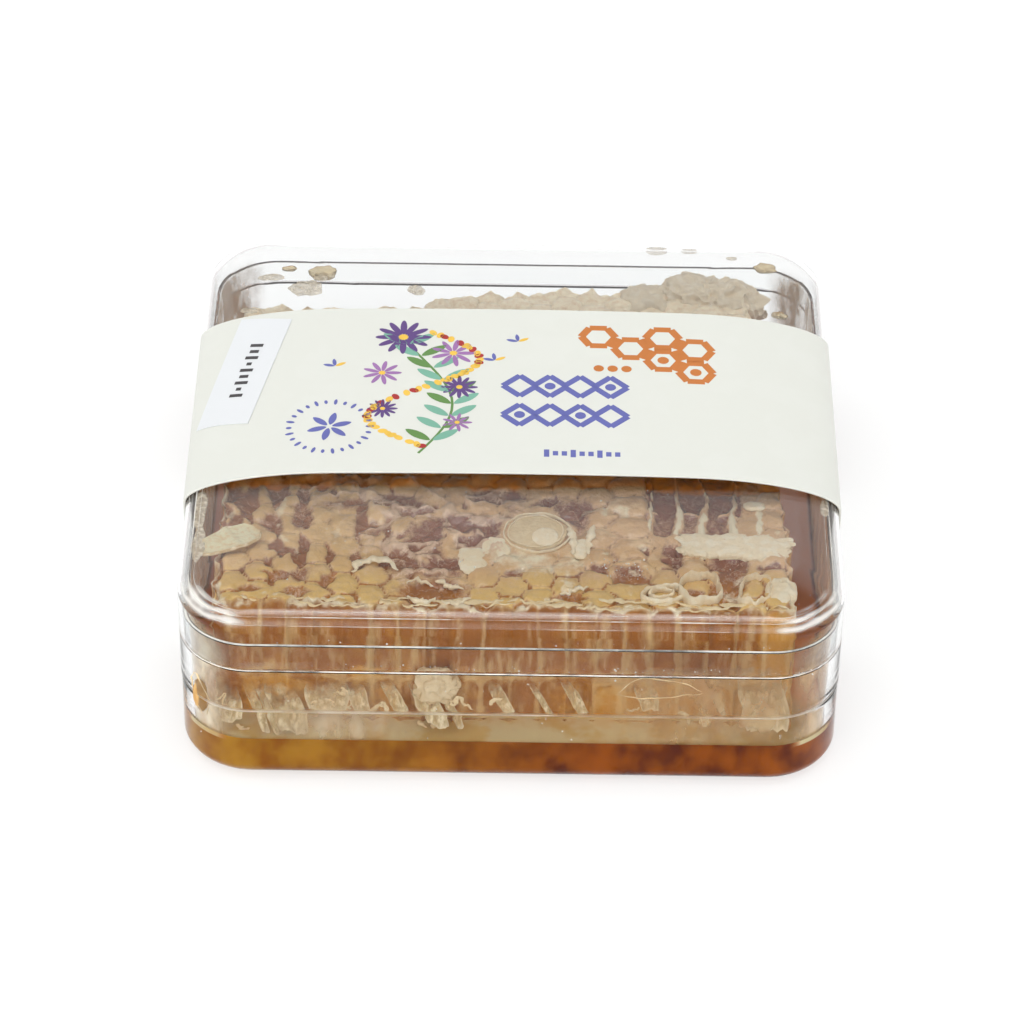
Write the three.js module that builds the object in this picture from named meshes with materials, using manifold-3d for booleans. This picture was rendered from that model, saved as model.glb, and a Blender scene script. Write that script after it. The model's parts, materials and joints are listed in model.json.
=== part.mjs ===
// A piece of cut comb honey in a shut see-through box, with a card sleeve round it.
// Millimetres, +Z up. The origin is under the middle of the pack, on the surface it rests on.
// The front of the pack is at -Y, and the sleeve runs round it along X.

import * as THREE from 'three';
import { mergeVertices } from 'three/addons/utils/BufferGeometryUtils.js';
import Module from 'manifold-3d';

const wasm = await Module();
wasm.setup();

// ---- driving dimensions -------------------------------------------------------------------

// Box, seen from above: a square with round corners.
const BOX_SIDE = 110;
const BOX_CORNER = 12.2;
const CORNER_STEPS = 7;
const HALF = BOX_SIDE / 2;

// Card sleeve: a closed band of thin card that bows up in the middle.
const CARD = 0.4;
const SLEEVE_FRONT = -21.1;
const SLEEVE_BACK = 25.6;
const SLEEVE_CROWN = 1.5;
const SLEEVE_GAP = 0.12;
const SLEEVE_BOTTOM_BEND = 2.6;

// Date label on the sleeve: middle, half sizes, turn and thickness.
const LABEL_MIDDLE = [-46.7, 9.3];
const LABEL_HALF = [4.6, 14.8];
const LABEL_TURN = THREE.MathUtils.degToRad(-12);
const LABEL_THICK = 0.12;
const LABEL_GAP = 0.05;

// Heights above the underside of the box, which stands on the sleeve's bottom card.
const BOX_LIFT = CARD + 0.05;
const FLOOR = 1.4;
const BOTTOM_EDGE = 2.6;
const INNER_BOTTOM_EDGE = 1.8;
const MOULD_STEP = 14.4;
const LEDGE = 23.0;
const COLLAR_TOP = 28.0;
const SHOULDER = 31.4;
const SHOULDER_RISE = 5.4;
const SHOULDER_RUN = 25;
const HONEY_LEVEL = 7.0;

// Walls and clearances of the box.
const LID_WALL = 0.8;
const LID_TOP_WALL = 1.05;
const BASE_WALL = 1.6;
const COLLAR_WALL = 0.8;
const MOULD_STEP_DEPTH = 0.12;
const FIT_GAP = 0.15;
const FACE_GAP = 0.3;

// Comb: worker cells in columns along Y, capped with wax, on both sides of a midrib.
const CELL = 5.35;
const COLUMN = CELL * Math.sqrt(3) / 2;
const CELL_CORNER = CELL / Math.sqrt(3);
const COLUMNS_OUT = 12;
const ROWS_OUT = 11;
const COMB_TOP = 31.5;
const COMB_MIDRIB = 16.4;
const MIDRIB_HALF = 0.8;
const CUT_CHANNEL = 1.2;
const CUT_WAVE = 0.2;
const MIDRIB_CHANNEL = 0.15;
const CORNER_WANDER = 0.5;

// Cell tops: how deep they lie, how much of the cell they fill, and how often they are so.
const CAP_GROOVE = 0.5;
const CAP_UNEVEN = 0.3;
const CAP_SHARE = 0.8;
const SUNK_DEPTH = 0.9;
const SUNK_CHANCE = 0.12;
const OPEN_DEPTH = 3.4;
const OPEN_SHARE = 0.84;
const OPEN_CHANCE = 0.7;

// The cut piece, seen from above and anticlockwise from its front left corner.
const COMB_OUTLINE = [
  [-49.4, -47.4], [-20, -48.2], [12, -47.4], [46.9, -48.8], [46.6, -26.0], [45.4, -17.0],
  [42.6, 37.4], [8.0, 41.0], [-12.0, 37.0], [-17.0, 34.8], [-39.5, 34.4], [-43.2, 36.6], [-48.4, 34.2],
];

// Round patches of the comb's top where the caps are torn off, as [x, y, radius].
const TORN_PATCHES = [
  [30, -21.5, 7.5], [37, -39, 7.5], [27, -42, 3], [-9, -33, 9.5], [-16, -43, 5.5], [-30, -20, 3],
];

// Torn cell walls that hang from the front cut, as [middle x, top z, width, drop, lean].
const FRONT_FACE = -48.0;
const FLAP_ROOT = 1.1;
const FLAP_THICK = 0.9;
const FRONT_FLAPS = [
  [-45.8, 17.5, 4.2, 8.6, 2.6], [-40.2, 17.0, 3.6, 8.0, 3.2], [-35.2, 16.6, 5.2, 7.6, 3.0],
  [-29.0, 18.0, 4.6, 7.0, 2.2], [-23.6, 17.2, 3.8, 6.2, 2.6], [-13.6, 16.8, 4.4, 8.4, 3.0],
  [-3.0, 15.8, 4.0, 5.6, 1.8], [9.0, 16.4, 4.2, 6.0, 1.6], [22.0, 15.6, 4.6, 5.0, 1.8],
  [39.6, 20.6, 6.0, 11.4, 3.4],
];

// The top's wax bar, its curled rims, the crumbled heap at the back and the knot on the front
// cut, as [middle, half sizes, detail, roughness, seed].
const TOP_LUMPS = [
  [[37.2, -32.0, 31.3], [9.8, 3.1, 1.5], 2, 0.3, 3],
  [[20.6, -45.4, 31.2], [3.6, 2.0, 1.5], 1, 0.5, 5],
  [[33.0, -45.8, 31.0], [2.2, 1.9, 1.4], 1, 0.5, 9],
  [[44.2, -40.6, 31.2], [2.6, 6.2, 1.3], 1, 0.3, 11],
  [[34.5, 41.0, 28.6], [9.4, 6.4, 5.2], 3, 0.24, 13],
  [[24.0, 39.5, 27.5], [7.0, 5.2, 5.0], 2, 0.3, 15],
  [[-12.3, -48.0, 16.2], [3.0, 2.1, 3.2], 1, 0.4, 17],
];

// A loose flake of clear wax that lies over the comb's left edge.
const FLAKE_TAIL = [-51.2, -36.4];
const FLAKE_TIP = [-42.4, -30.6];
const FLAKE_HALF_WIDTH = 3.0;
const FLAKE_THICK = 0.5;
const FLAKE_LIFT = 1.15;
const FLAKE_DROOP = 0.6;

// ---- small helpers ------------------------------------------------------------------------

// A repeatable stream of numbers from 0 to 1.
function seeded(seed) {
  let state = seed;
  return () => {
    state = (state * 1664525 + 1013904223) % 4294967296;
    return state / 4294967296;
  };
}

// A body from a list of points and a list of triangles.
function bodyFrom(points, triangles) {
  const geometry = new THREE.BufferGeometry();
  geometry.setAttribute('position', new THREE.Float32BufferAttribute(points.flat(), 3));
  geometry.setIndex(triangles.flat());
  return geometry;
}

function toSolid(geometry) {
  const bare = geometry.clone();
  bare.deleteAttribute('normal');
  bare.deleteAttribute('uv');
  const merged = mergeVertices(bare, 1e-5);
  return new wasm.Manifold(new wasm.Mesh({
    numProp: 3,
    vertProperties: new Float32Array(merged.attributes.position.array),
    triVerts: new Uint32Array(merged.index.array),
  }));
}

function fromSolid(solid) {
  const { vertProperties, triVerts } = solid.getMesh();
  const geometry = new THREE.BufferGeometry();
  geometry.setAttribute('position', new THREE.BufferAttribute(new Float32Array(vertProperties), 3));
  geometry.setIndex(Array.from(triVerts));
  return geometry;
}

// Rings of equally many points, joined one to the next, with a flat cap at each end.
// The rings run anticlockwise, and the first cap faces down.
function loft(rings) {
  const count = rings[0].length;
  const triangles = [];
  for (let r = 0; r + 1 < rings.length; r += 1) {
    for (let i = 0; i < count; i += 1) {
      const j = (i + 1) % count;
      const low = r * count;
      const high = low + count;
      triangles.push([low + i, low + j, high + j], [low + i, high + j, high + i]);
    }
  }
  const flat = (ring) => ring.map(([x, y]) => new THREE.Vector2(x, y));
  const last = (rings.length - 1) * count;
  for (const [a, b, c] of THREE.ShapeUtils.triangulateShape(flat(rings[0]), [])) {
    triangles.push([a, c, b]);
  }
  for (const [a, b, c] of THREE.ShapeUtils.triangulateShape(flat(rings.at(-1)), [])) {
    triangles.push([last + a, last + b, last + c]);
  }
  return bodyFrom(rings.flat(), triangles);
}

// A quarter of an ellipse that leaves its start flat and meets its end upright.
function quarterTurn([fromX, fromZ], [toX, toZ], steps) {
  const points = [];
  for (let i = 0; i <= steps; i += 1) {
    const angle = (i / steps) * Math.PI / 2;
    points.push([fromX + (toX - fromX) * Math.sin(angle), fromZ + (toZ - fromZ) * (1 - Math.cos(angle))]);
  }
  return points;
}

// ---- box ----------------------------------------------------------------------------------

const BASE_INNER = HALF - BASE_WALL;
const COLLAR_HALF = BASE_INNER + COLLAR_WALL;
const LOWER_HALF = HALF - MOULD_STEP_DEPTH;
const LID_INNER = HALF - LID_WALL;
const FLAT_HALF = HALF - SHOULDER_RUN;
const LID_STATIONS = [12, 30, 38, 43, 47, 50, 52.2, 53.7, 54.6];

// A ring of the rounded square. Near the box's outline it runs parallel to it, and further in
// its corners stay rounder, so that the top has no creases.
function boxRing(half, z) {
  const inset = HALF - half;
  const radius = BOX_CORNER - Math.min(inset, 3) - 0.1 * Math.max(inset - 3, 0);
  const middle = half - radius;
  const ring = [];
  for (let corner = 0; corner < 4; corner += 1) {
    const sx = corner === 0 || corner === 3 ? 1 : -1;
    const sy = corner < 2 ? 1 : -1;
    for (let step = 0; step <= CORNER_STEPS; step += 1) {
      const angle = (corner + step / CORNER_STEPS) * Math.PI / 2;
      ring.push([sx * middle + radius * Math.cos(angle), sy * middle + radius * Math.sin(angle), z]);
    }
  }
  return ring;
}

// A body from a profile of [half width, height] pairs, from the middle of its lower face to
// the middle of its upper one.
function boxBody(profile) {
  return loft(profile.map(([half, z]) => boxRing(half, z + BOX_LIFT)));
}

function baseGeometry() {
  const inside = quarterTurn(
    [BASE_INNER - INNER_BOTTOM_EDGE, FLOOR], [BASE_INNER, FLOOR + INNER_BOTTOM_EDGE], 4,
  );
  return boxBody([
    ...quarterTurn([LOWER_HALF - BOTTOM_EDGE, 0], [LOWER_HALF, BOTTOM_EDGE], 5),
    [LOWER_HALF, MOULD_STEP],
    [HALF, MOULD_STEP + MOULD_STEP_DEPTH],
    [HALF, LEDGE],
    [COLLAR_HALF - FIT_GAP, LEDGE],
    [COLLAR_HALF - FIT_GAP, COLLAR_TOP],
    [BASE_INNER, COLLAR_TOP],
    ...inside.reverse(),
  ]);
}

// Height of a shallow pillow over the lid, flat in the middle and upright at its edge.
function pillow(half, edgeHalf, edgeHeight, rise) {
  const out = Math.max(half - FLAT_HALF, 0) / (edgeHalf - FLAT_HALF);
  return edgeHeight + rise * Math.sqrt(Math.max(1 - out * out, 0));
}

function lidGeometry() {
  const outside = LID_STATIONS.map((half) => [half, pillow(half, HALF, SHOULDER, SHOULDER_RISE)]);
  const innerShoulder = SHOULDER - LID_WALL;
  const innerRise = SHOULDER_RISE + LID_WALL - LID_TOP_WALL;
  const innerStations = LID_STATIONS.filter((half) => half < LID_INNER - LID_WALL / 2);
  const inside = innerStations.map((half) => [half, pillow(half, LID_INNER, innerShoulder, innerRise)]);
  return boxBody([
    ...inside,
    [LID_INNER, innerShoulder],
    [LID_INNER, LEDGE + FACE_GAP],
    [HALF, LEDGE + FACE_GAP],
    [HALF, SHOULDER],
    ...outside.reverse(),
  ]);
}

// ---- card sleeve and its label ----------------------------------------------------------------

// The sleeve's inner line at X > 0, from the middle of the top to the middle of the bottom.
function sleeveInnerHalf() {
  const edge = HALF + SLEEVE_GAP;
  const line = [0, ...LID_STATIONS, 54.95].map((station) => {
    const past = Math.max(station - FLAT_HALF, 0) / SHOULDER_RUN;
    const x = Math.min(station, FLAT_HALF) + past * (edge - FLAT_HALF);
    const stand = SLEEVE_CROWN * (1 - (x / edge) ** 2) ** 0.75;
    return [x, pillow(x, edge, SHOULDER, SHOULDER_RISE + SLEEVE_GAP) + stand + BOX_LIFT];
  });
  const bend = quarterTurn([edge - SLEEVE_BOTTOM_BEND, CARD], [edge, CARD + SLEEVE_BOTTOM_BEND], 4);
  return [...line, [edge, SHOULDER - 2], [edge, LEDGE], ...bend.reverse()];
}

function mirrored(half) {
  const other = half.filter(([x]) => x > 0).reverse();
  return [...half, ...other.map(([x, z]) => [-x, z])];
}

// A clockwise outline grown outwards by a distance.
function grown(outline, distance) {
  const count = outline.length;
  return outline.map(([x, z], i) => {
    const [px, pz] = outline[(i + count - 1) % count];
    const [nx, nz] = outline[(i + 1) % count];
    const before = new THREE.Vector2(x - px, z - pz).normalize();
    const after = new THREE.Vector2(nx - x, nz - z).normalize();
    const way = before.clone().add(after).normalize();
    const reach = distance / way.dot(after);
    return [x - way.y * reach, z + way.x * reach];
  });
}

// A band along Y between two clockwise outlines in the XZ plane. A shape's hole runs the other
// way round from its rim, so the rim is turned round.
function band(inner, outer) {
  const rim = outer.map(([x, z]) => new THREE.Vector2(x, z)).reverse();
  const shape = new THREE.Shape(rim);
  shape.holes.push(new THREE.Path(inner.map(([x, z]) => new THREE.Vector2(x, z))));
  const geometry = new THREE.ExtrudeGeometry(shape, {
    depth: SLEEVE_BACK - SLEEVE_FRONT, bevelEnabled: false,
  });
  geometry.rotateX(Math.PI / 2);
  geometry.translate(0, SLEEVE_BACK, 0);
  return geometry;
}

const SLEEVE_INNER = mirrored(sleeveInnerHalf());

function sleeveGeometry() {
  return band(SLEEVE_INNER, grown(SLEEVE_INNER, CARD));
}

// The label is the part of a thinner band, laid on the sleeve, that falls inside a turned rectangle.
function labelGeometry() {
  const skin = band(
    grown(SLEEVE_INNER, CARD + LABEL_GAP), grown(SLEEVE_INNER, CARD + LABEL_GAP + LABEL_THICK),
  );
  const cutter = new THREE.BoxGeometry(2 * LABEL_HALF[0], 2 * LABEL_HALF[1], SHOULDER_RISE + 8);
  cutter.rotateZ(LABEL_TURN);
  cutter.translate(...LABEL_MIDDLE, SHOULDER + 4);
  return fromSolid(toSolid(skin).intersect(toSolid(cutter)));
}

// ---- comb -------------------------------------------------------------------------------------

function isTorn(x, y) {
  return TORN_PATCHES.some(([px, py, radius]) => Math.hypot(x - px, y - py) < radius);
}

// Gentle unevenness of the comb's top over its length and width.
function swell(x, y) {
  return 0.35 * Math.sin(x / 13 + 0.6) * Math.cos(y / 17) + 0.25 * Math.sin(x / 7 + y / 9);
}

// How far a closed cap lies below the comb's top: now and then one has sunk in.
function capSink(random) {
  return random() < SUNK_CHANCE ? SUNK_DEPTH : CAP_UNEVEN * (random() - 0.5);
}

// The cell columns' top as a closed slab that is larger than the cut piece. Each cell is a
// capped, sunk or open hexagon, and its corners are shared with the cells beside it.
function cellSlab() {
  const random = seeded(41);
  const points = [];
  const triangles = [];
  const corners = new Map();
  const underside = BOX_LIFT - 2;
  const addPoint = (x, y, z) => points.push([x, y, z]) - 1;
  // A corner's place on the lattice: halves of a cell's corner radius by halves of a cell.
  const cornerAt = (stepsX, stepsY) => {
    const key = `${stepsX}/${stepsY}`;
    if (!corners.has(key)) {
      const x = stepsX * CELL_CORNER / 2 + CORNER_WANDER * (random() - 0.5);
      const y = stepsY * CELL / 2 + CORNER_WANDER * (random() - 0.5);
      const z = COMB_TOP + BOX_LIFT + swell(x, y) - CAP_GROOVE * (0.6 + 0.8 * random());
      corners.set(key, addPoint(x, y, z));
    }
    return corners.get(key);
  };
  const edges = new Map();
  for (let column = -COLUMNS_OUT; column <= COLUMNS_OUT; column += 1) {
    const shift = column % 2 === 0 ? 0 : CELL / 2;
    for (let row = -ROWS_OUT; row < ROWS_OUT; row += 1) {
      const cx = column * COLUMN;
      const cy = row * CELL + shift;
      const open = isTorn(cx, cy) && random() < OPEN_CHANCE;
      const share = open ? OPEN_SHARE : CAP_SHARE;
      const sink = open ? OPEN_DEPTH * (0.6 + 0.6 * random()) : capSink(random);
      const outer = [];
      const inner = [];
      for (let k = 0; k < 6; k += 1) {
        const angle = k * Math.PI / 3;
        const dx = CELL_CORNER * Math.cos(angle);
        const dy = CELL_CORNER * Math.sin(angle);
        const stepsX = 3 * column + Math.round(2 * Math.cos(angle));
        const stepsY = 2 * row + Math.abs(column % 2) + Math.sign(Math.round(Math.sin(angle)));
        outer.push(cornerAt(stepsX, stepsY));
        inner.push(addPoint(cx + dx * share, cy + dy * share, COMB_TOP + BOX_LIFT + swell(cx, cy) - sink));
      }
      for (let k = 0; k < 6; k += 1) {
        const n = (k + 1) % 6;
        triangles.push([outer[k], outer[n], inner[n]], [outer[k], inner[n], inner[k]]);
        edges.set(`${outer[k]}/${outer[n]}`, [outer[k], outer[n]]);
      }
      triangles.push([inner[0], inner[1], inner[2]], [inner[0], inner[2], inner[3]]);
      triangles.push([inner[0], inner[3], inner[5]], [inner[3], inner[4], inner[5]]);
    }
  }
  const border = [...edges.values()].filter(([a, b]) => !edges.has(`${b}/${a}`));
  const below = new Map();
  const dropped = (a) => {
    if (!below.has(a)) below.set(a, addPoint(points[a][0], points[a][1], underside));
    return below.get(a);
  };
  const hub = addPoint(0, 0, underside);
  for (const [a, b] of border) {
    triangles.push([b, a, dropped(a)], [b, dropped(a), dropped(b)], [dropped(b), dropped(a), hub]);
  }
  return toSolid(bodyFrom(points, triangles));
}

// The cut sides: straight knife cuts that leave the cell walls standing as upright ribs with
// shallow channels between them. Each point is [x, y, inward x, inward y, share of the depth].
function cutOutline() {
  const random = seeded(7);
  const path = [];
  COMB_OUTLINE.forEach(([ax, ay], i) => {
    const [bx, by] = COMB_OUTLINE[(i + 1) % COMB_OUTLINE.length];
    const length = Math.hypot(bx - ax, by - ay);
    const ux = (bx - ax) / length;
    const uy = (by - ay) / length;
    const ribs = Math.max(Math.round(length / (Math.abs(ux) > Math.abs(uy) ? COLUMN : CELL)), 1);
    for (let k = 0; k < ribs; k += 1) {
      const depth = ribs > 1 ? 0.65 + 0.6 * random() : 0;
      const start = k === 0 ? 0.5 : 0.2;
      const end = k === ribs - 1 ? 0.55 : 0.8;
      for (const [along, share] of [[0, 0], [start, depth], [end, depth]]) {
        const t = (k + along) * length / ribs;
        path.push([ax + ux * t, ay + uy * t, -uy, ux, share]);
      }
    }
  });
  return path;
}

function cutBody() {
  const path = cutOutline();
  const ring = (z, depth) => path.map(([x, y, nx, ny, share]) => {
    const inset = share * depth + CUT_WAVE * Math.sin(x / 5 + z / 6) * Math.cos(y / 6);
    return [x + nx * inset, y + ny * inset, z + BOX_LIFT];
  });
  return toSolid(loft([
    ring(FLOOR + FACE_GAP, CUT_CHANNEL),
    ring(COMB_MIDRIB - MIDRIB_HALF, MIDRIB_CHANNEL),
    ring(COMB_MIDRIB + MIDRIB_HALF, MIDRIB_CHANNEL),
    ring(COMB_TOP + 4, CUT_CHANNEL),
  ]));
}

// An uneven lump: a sphere with its points moved in and out, then stretched.
function lump([x, y, z], [rx, ry, rz], detail, roughness, seed) {
  const geometry = mergeVertices(bareSphere(detail), 1e-4);
  const random = seeded(seed);
  const position = geometry.attributes.position;
  for (let i = 0; i < position.count; i += 1) {
    const grow = 1 + roughness * (random() - 0.5);
    position.setXYZ(
      i, x + rx * grow * position.getX(i), y + ry * grow * position.getY(i),
      z + BOX_LIFT + rz * grow * position.getZ(i),
    );
  }
  return toSolid(geometry);
}

function bareSphere(detail) {
  const geometry = new THREE.IcosahedronGeometry(1, detail);
  geometry.deleteAttribute('normal');
  geometry.deleteAttribute('uv');
  return geometry;
}

// A thin curved sheet of wax. The surface function gives the place of a point of its middle,
// for u from 0 to 1 along it and v from -1 to 1 across it.
function waxSheet(surface, thickness, along, across) {
  const points = [];
  const triangles = [];
  const row = across + 1;
  const side = (along + 1) * row;
  for (const offset of [-0.5, 0.5]) {
    for (let i = 0; i <= along; i += 1) {
      for (let j = 0; j <= across; j += 1) {
        const [x, y, z, nx, ny, nz] = surface(i / along, 2 * j / across - 1);
        const t = offset * thickness;
        points.push([x + nx * t, y + ny * t, z + nz * t + BOX_LIFT]);
      }
    }
  }
  const quad = (a, b, c, d) => triangles.push([a, b, c], [a, c, d]);
  for (let i = 0; i < along; i += 1) {
    for (let j = 0; j < across; j += 1) {
      const a = i * row + j;
      const b = a + row;
      quad(a, a + 1, b + 1, b);
      quad(side + a, side + b, side + b + 1, side + a + 1);
    }
  }
  for (let i = 0; i < along; i += 1) {
    const a = i * row;
    const b = a + across;
    quad(a, a + row, side + a + row, side + a);
    quad(b + row, b, side + b, side + b + row);
  }
  for (let j = 0; j < across; j += 1) {
    const a = j;
    const b = along * row + j;
    quad(a + 1, a, side + a, side + a + 1);
    quad(b, b + 1, side + b + 1, side + b);
  }
  return bodyFrom(points, triangles);
}

// A torn cell wall, rooted in the comb, that hangs down and leans out from the front cut.
function frontFlap([x, top, width, drop, lean]) {
  return toSolid(waxSheet((u, v) => {
    const z = top - drop * u;
    const narrow = 1 - 0.35 * u + 0.1 * Math.sin(5 * u + x);
    const y = FRONT_FACE + FLAP_ROOT - lean * u ** 0.7 - 0.5 * v * v * u;
    return [x + width / 2 * v * narrow + 0.5 * Math.sin(4 * u + x), y, z, 0, -1, 0];
  }, FLAP_THICK, 3, 2));
}

// The largest connected body alone: it drops loose scraps and fills hollows that joining sealed.
function wholePiece(solid) {
  return solid.decompose().reduce((best, piece) => (piece.volume() > best.volume() ? piece : best));
}

function combSolid() {
  let comb = cellSlab().intersect(cutBody());
  for (const flap of FRONT_FLAPS) comb = comb.add(frontFlap(flap));
  for (const settings of TOP_LUMPS) comb = comb.add(lump(...settings));
  return wholePiece(comb);
}

// ---- honey and loose wax ------------------------------------------------------------------------

// Honey that has run out over the floor of the box, up to its level, cut round the comb.
function honeyGeometry() {
  const edge = BASE_INNER - FACE_GAP;
  const low = FLOOR + FACE_GAP;
  const pool = boxBody([
    ...quarterTurn([edge - INNER_BOTTOM_EDGE, low], [edge, low + INNER_BOTTOM_EDGE], 4),
    [edge, HONEY_LEVEL],
  ]);
  const hole = grown([...COMB_OUTLINE].reverse(), FACE_GAP + CUT_WAVE).reverse();
  const ring = (z) => hole.map(([x, y]) => [x, y, z + BOX_LIFT]);
  return fromSolid(toSolid(pool).subtract(toSolid(loft([ring(0), ring(HONEY_LEVEL + 1)]))));
}

// The flake is widest a little past its middle and droops towards its tail.
function flakeGeometry() {
  const length = Math.hypot(FLAKE_TIP[0] - FLAKE_TAIL[0], FLAKE_TIP[1] - FLAKE_TAIL[1]);
  const ux = (FLAKE_TIP[0] - FLAKE_TAIL[0]) / length;
  const uy = (FLAKE_TIP[1] - FLAKE_TAIL[1]) / length;
  return waxSheet((u, v) => {
    const belly = 0.12 + 0.88 * Math.sin(Math.PI * (u * 0.62 + 0.02));
    const wide = FLAKE_HALF_WIDTH * belly * (1 - 0.45 * u ** 6);
    const z = COMB_TOP + FLAKE_LIFT - FLAKE_DROOP * (1 - u) ** 2 + 0.2 * Math.sin(3 * u + 1.5 * v);
    const x = FLAKE_TAIL[0] + ux * length * u - uy * wide * v;
    const y = FLAKE_TAIL[1] + uy * length * u + ux * wide * v;
    return [x, y, z, 0, 0, 1];
  }, FLAKE_THICK, 8, 4);
}

// ---- materials and assembly -----------------------------------------------------------------------

function named(name, geometry, settings) {
  const material = new THREE.MeshStandardMaterial(settings);
  const mesh = new THREE.Mesh(geometry, material);
  mesh.name = name;
  return mesh;
}

const CLEAR_PLASTIC = { color: 0xf2f5f6, roughness: 0.06, metalness: 0, transparent: true, opacity: 0.25 };

const packaging = new THREE.Group();
packaging.add(
  named('box_base', baseGeometry(), CLEAR_PLASTIC),
  named('box_lid', lidGeometry(), CLEAR_PLASTIC),
  named('card_sleeve', sleeveGeometry(), { color: 0xecefe6, roughness: 0.6, metalness: 0 }),
  named('date_sticker', labelGeometry(), { color: 0xf3f6f8, roughness: 0.45, metalness: 0 }),
);

const contents = new THREE.Group();
contents.add(
  named('honeycomb', fromSolid(combSolid()), { color: 0xc9a878, roughness: 0.45, metalness: 0 }),
  named('honey_pool', honeyGeometry(), { color: 0x9a5a14, roughness: 0.08, metalness: 0 }),
  named('wax_flake', flakeGeometry(), { color: 0xdccf9e, roughness: 0.3, metalness: 0 }),
);

const pack = new THREE.Group();
pack.add(packaging, contents);

export default pack;
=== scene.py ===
"""Looks of a shut clear box of cut comb honey with a card sleeve round it.

Metres, +Z up, the front of the pack at -Y. Sizes here are in millimetres and become metres
where a mesh gets its points.
"""

import json
import logging
import math
import random
from collections.abc import Callable, Iterator, Sequence
from contextlib import contextmanager
from dataclasses import dataclass, field
from enum import Enum

import bpy
import numpy as np
from mathutils import Euler, Matrix, Vector

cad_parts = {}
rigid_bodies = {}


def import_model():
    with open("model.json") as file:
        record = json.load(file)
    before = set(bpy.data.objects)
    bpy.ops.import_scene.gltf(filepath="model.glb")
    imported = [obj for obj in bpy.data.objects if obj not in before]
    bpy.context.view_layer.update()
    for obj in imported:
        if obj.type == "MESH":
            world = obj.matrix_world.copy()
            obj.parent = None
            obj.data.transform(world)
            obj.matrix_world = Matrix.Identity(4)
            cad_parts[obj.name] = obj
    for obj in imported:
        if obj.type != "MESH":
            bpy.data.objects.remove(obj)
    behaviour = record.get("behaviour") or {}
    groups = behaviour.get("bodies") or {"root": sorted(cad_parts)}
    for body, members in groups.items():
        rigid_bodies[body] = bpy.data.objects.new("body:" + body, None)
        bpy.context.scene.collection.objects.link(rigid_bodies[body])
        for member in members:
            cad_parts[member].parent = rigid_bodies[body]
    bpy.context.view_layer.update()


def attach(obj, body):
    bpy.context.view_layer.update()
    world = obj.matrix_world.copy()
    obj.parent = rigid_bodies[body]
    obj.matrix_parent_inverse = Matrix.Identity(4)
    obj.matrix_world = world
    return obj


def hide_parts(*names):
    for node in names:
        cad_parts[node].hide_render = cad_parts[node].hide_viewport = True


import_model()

LOG = logging.getLogger("honeycomb_pack")
MM = 0.001
Array = np.ndarray
Axes = tuple[Array, Array, Array]
Pair = tuple[float, float]
Spot = tuple[float, float, float]
Tone = tuple[float, float, float, float]
Place = Callable[[Array, Array], Axes]
Object = bpy.types.Object
Material = bpy.types.Material
Socket = bpy.types.NodeSocket


class Slot(Enum):
    """Material slots of the record."""

    CRYSTAL = "crystal_plastic"
    CARD = "sleeve_card"
    STICKER = "sticker_paper"
    WAX = "comb_wax"
    HONEY = "honey"
    CLEAR_WAX = "clear_wax"


def step(low: float, high: float, value: Array) -> Array:
    """Smooth step from 0 at low to 1 at high."""
    share = np.clip((value - low) / (high - low), 0.0, 1.0)
    return share * share * (3.0 - 2.0 * share)


def bell(distance: Array, width: float | Array) -> Array:
    """1 at no distance, falling away over a width."""
    return np.exp(-((distance / width) ** 2))


def oval(x: Array, y: Array, mid_x: float, mid_y: float, half_x: float, half_y: float, soft: float) -> Array:
    """1 inside an oval, falling to 0 over a share of its size round its edge."""
    return step(1 + soft, 1 - soft, np.hypot((x - mid_x) / half_x, (y - mid_y) / half_y))


class Unevenness:
    """Smooth random values over space, the same at each run."""

    SIDE = 32

    def __init__(self, seed: int) -> None:
        """Fills the lattice that the values are read from."""
        self.lattice = np.random.default_rng(seed).random((self.SIDE,) * 3)

    def at(self, x: Array, y: Array, z: Array | float, size: float) -> Array:
        """Values from -1 to 1.

        Args:
            x, y, z: Places in millimetres.
            size: Size of one swell in millimetres.

        Returns:
            One value for each place.
        """
        total = np.zeros(np.broadcast(x, y).shape)
        cells, shares = [], []
        for axis in (x, y, np.zeros_like(total) + z):
            place = axis / size + 100.0
            low = np.floor(place).astype(int)
            part = place - low
            cells.append(low)
            shares.append(part * part * (3.0 - 2.0 * part))
        for corner in range(8):
            bits = [(corner >> k) & 1 for k in range(3)]
            weight = np.ones_like(total)
            for share, bit in zip(shares, bits):
                weight = weight * (share if bit else 1.0 - share)
            index = tuple((cell + bit) % self.SIDE for cell, bit in zip(cells, bits))
            total = total + weight * self.lattice[index]
        return 2.0 * total - 1.0

    def layered(self, x: Array, y: Array, z: Array | float, size: float, layers: int = 3) -> Array:
        """Several sizes of swell, each half as large and half as strong as the one before.

        Args:
            x, y, z: Places in millimetres.
            size: Size of the largest swell.
            layers: How many sizes there are.

        Returns:
            A number for each place, about 0.
        """
        total = self.at(x, y, z, size)
        for layer in range(1, layers):
            total = total + self.at(x + 7.0 * layer, y, z, size / 2**layer) / 2**layer
        return total


def deselect_all() -> None:
    """Leaves edit mode and deselects every object."""
    if bpy.context.object is not None and bpy.context.object.mode != "OBJECT":
        bpy.ops.object.mode_set(mode="OBJECT")
    for thing in bpy.context.scene.objects:
        thing.select_set(False)


def take(piece: Object) -> None:
    """Makes one piece the only selected and the active one."""
    deselect_all()
    piece.select_set(True)
    bpy.context.view_layer.objects.active = piece


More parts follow.
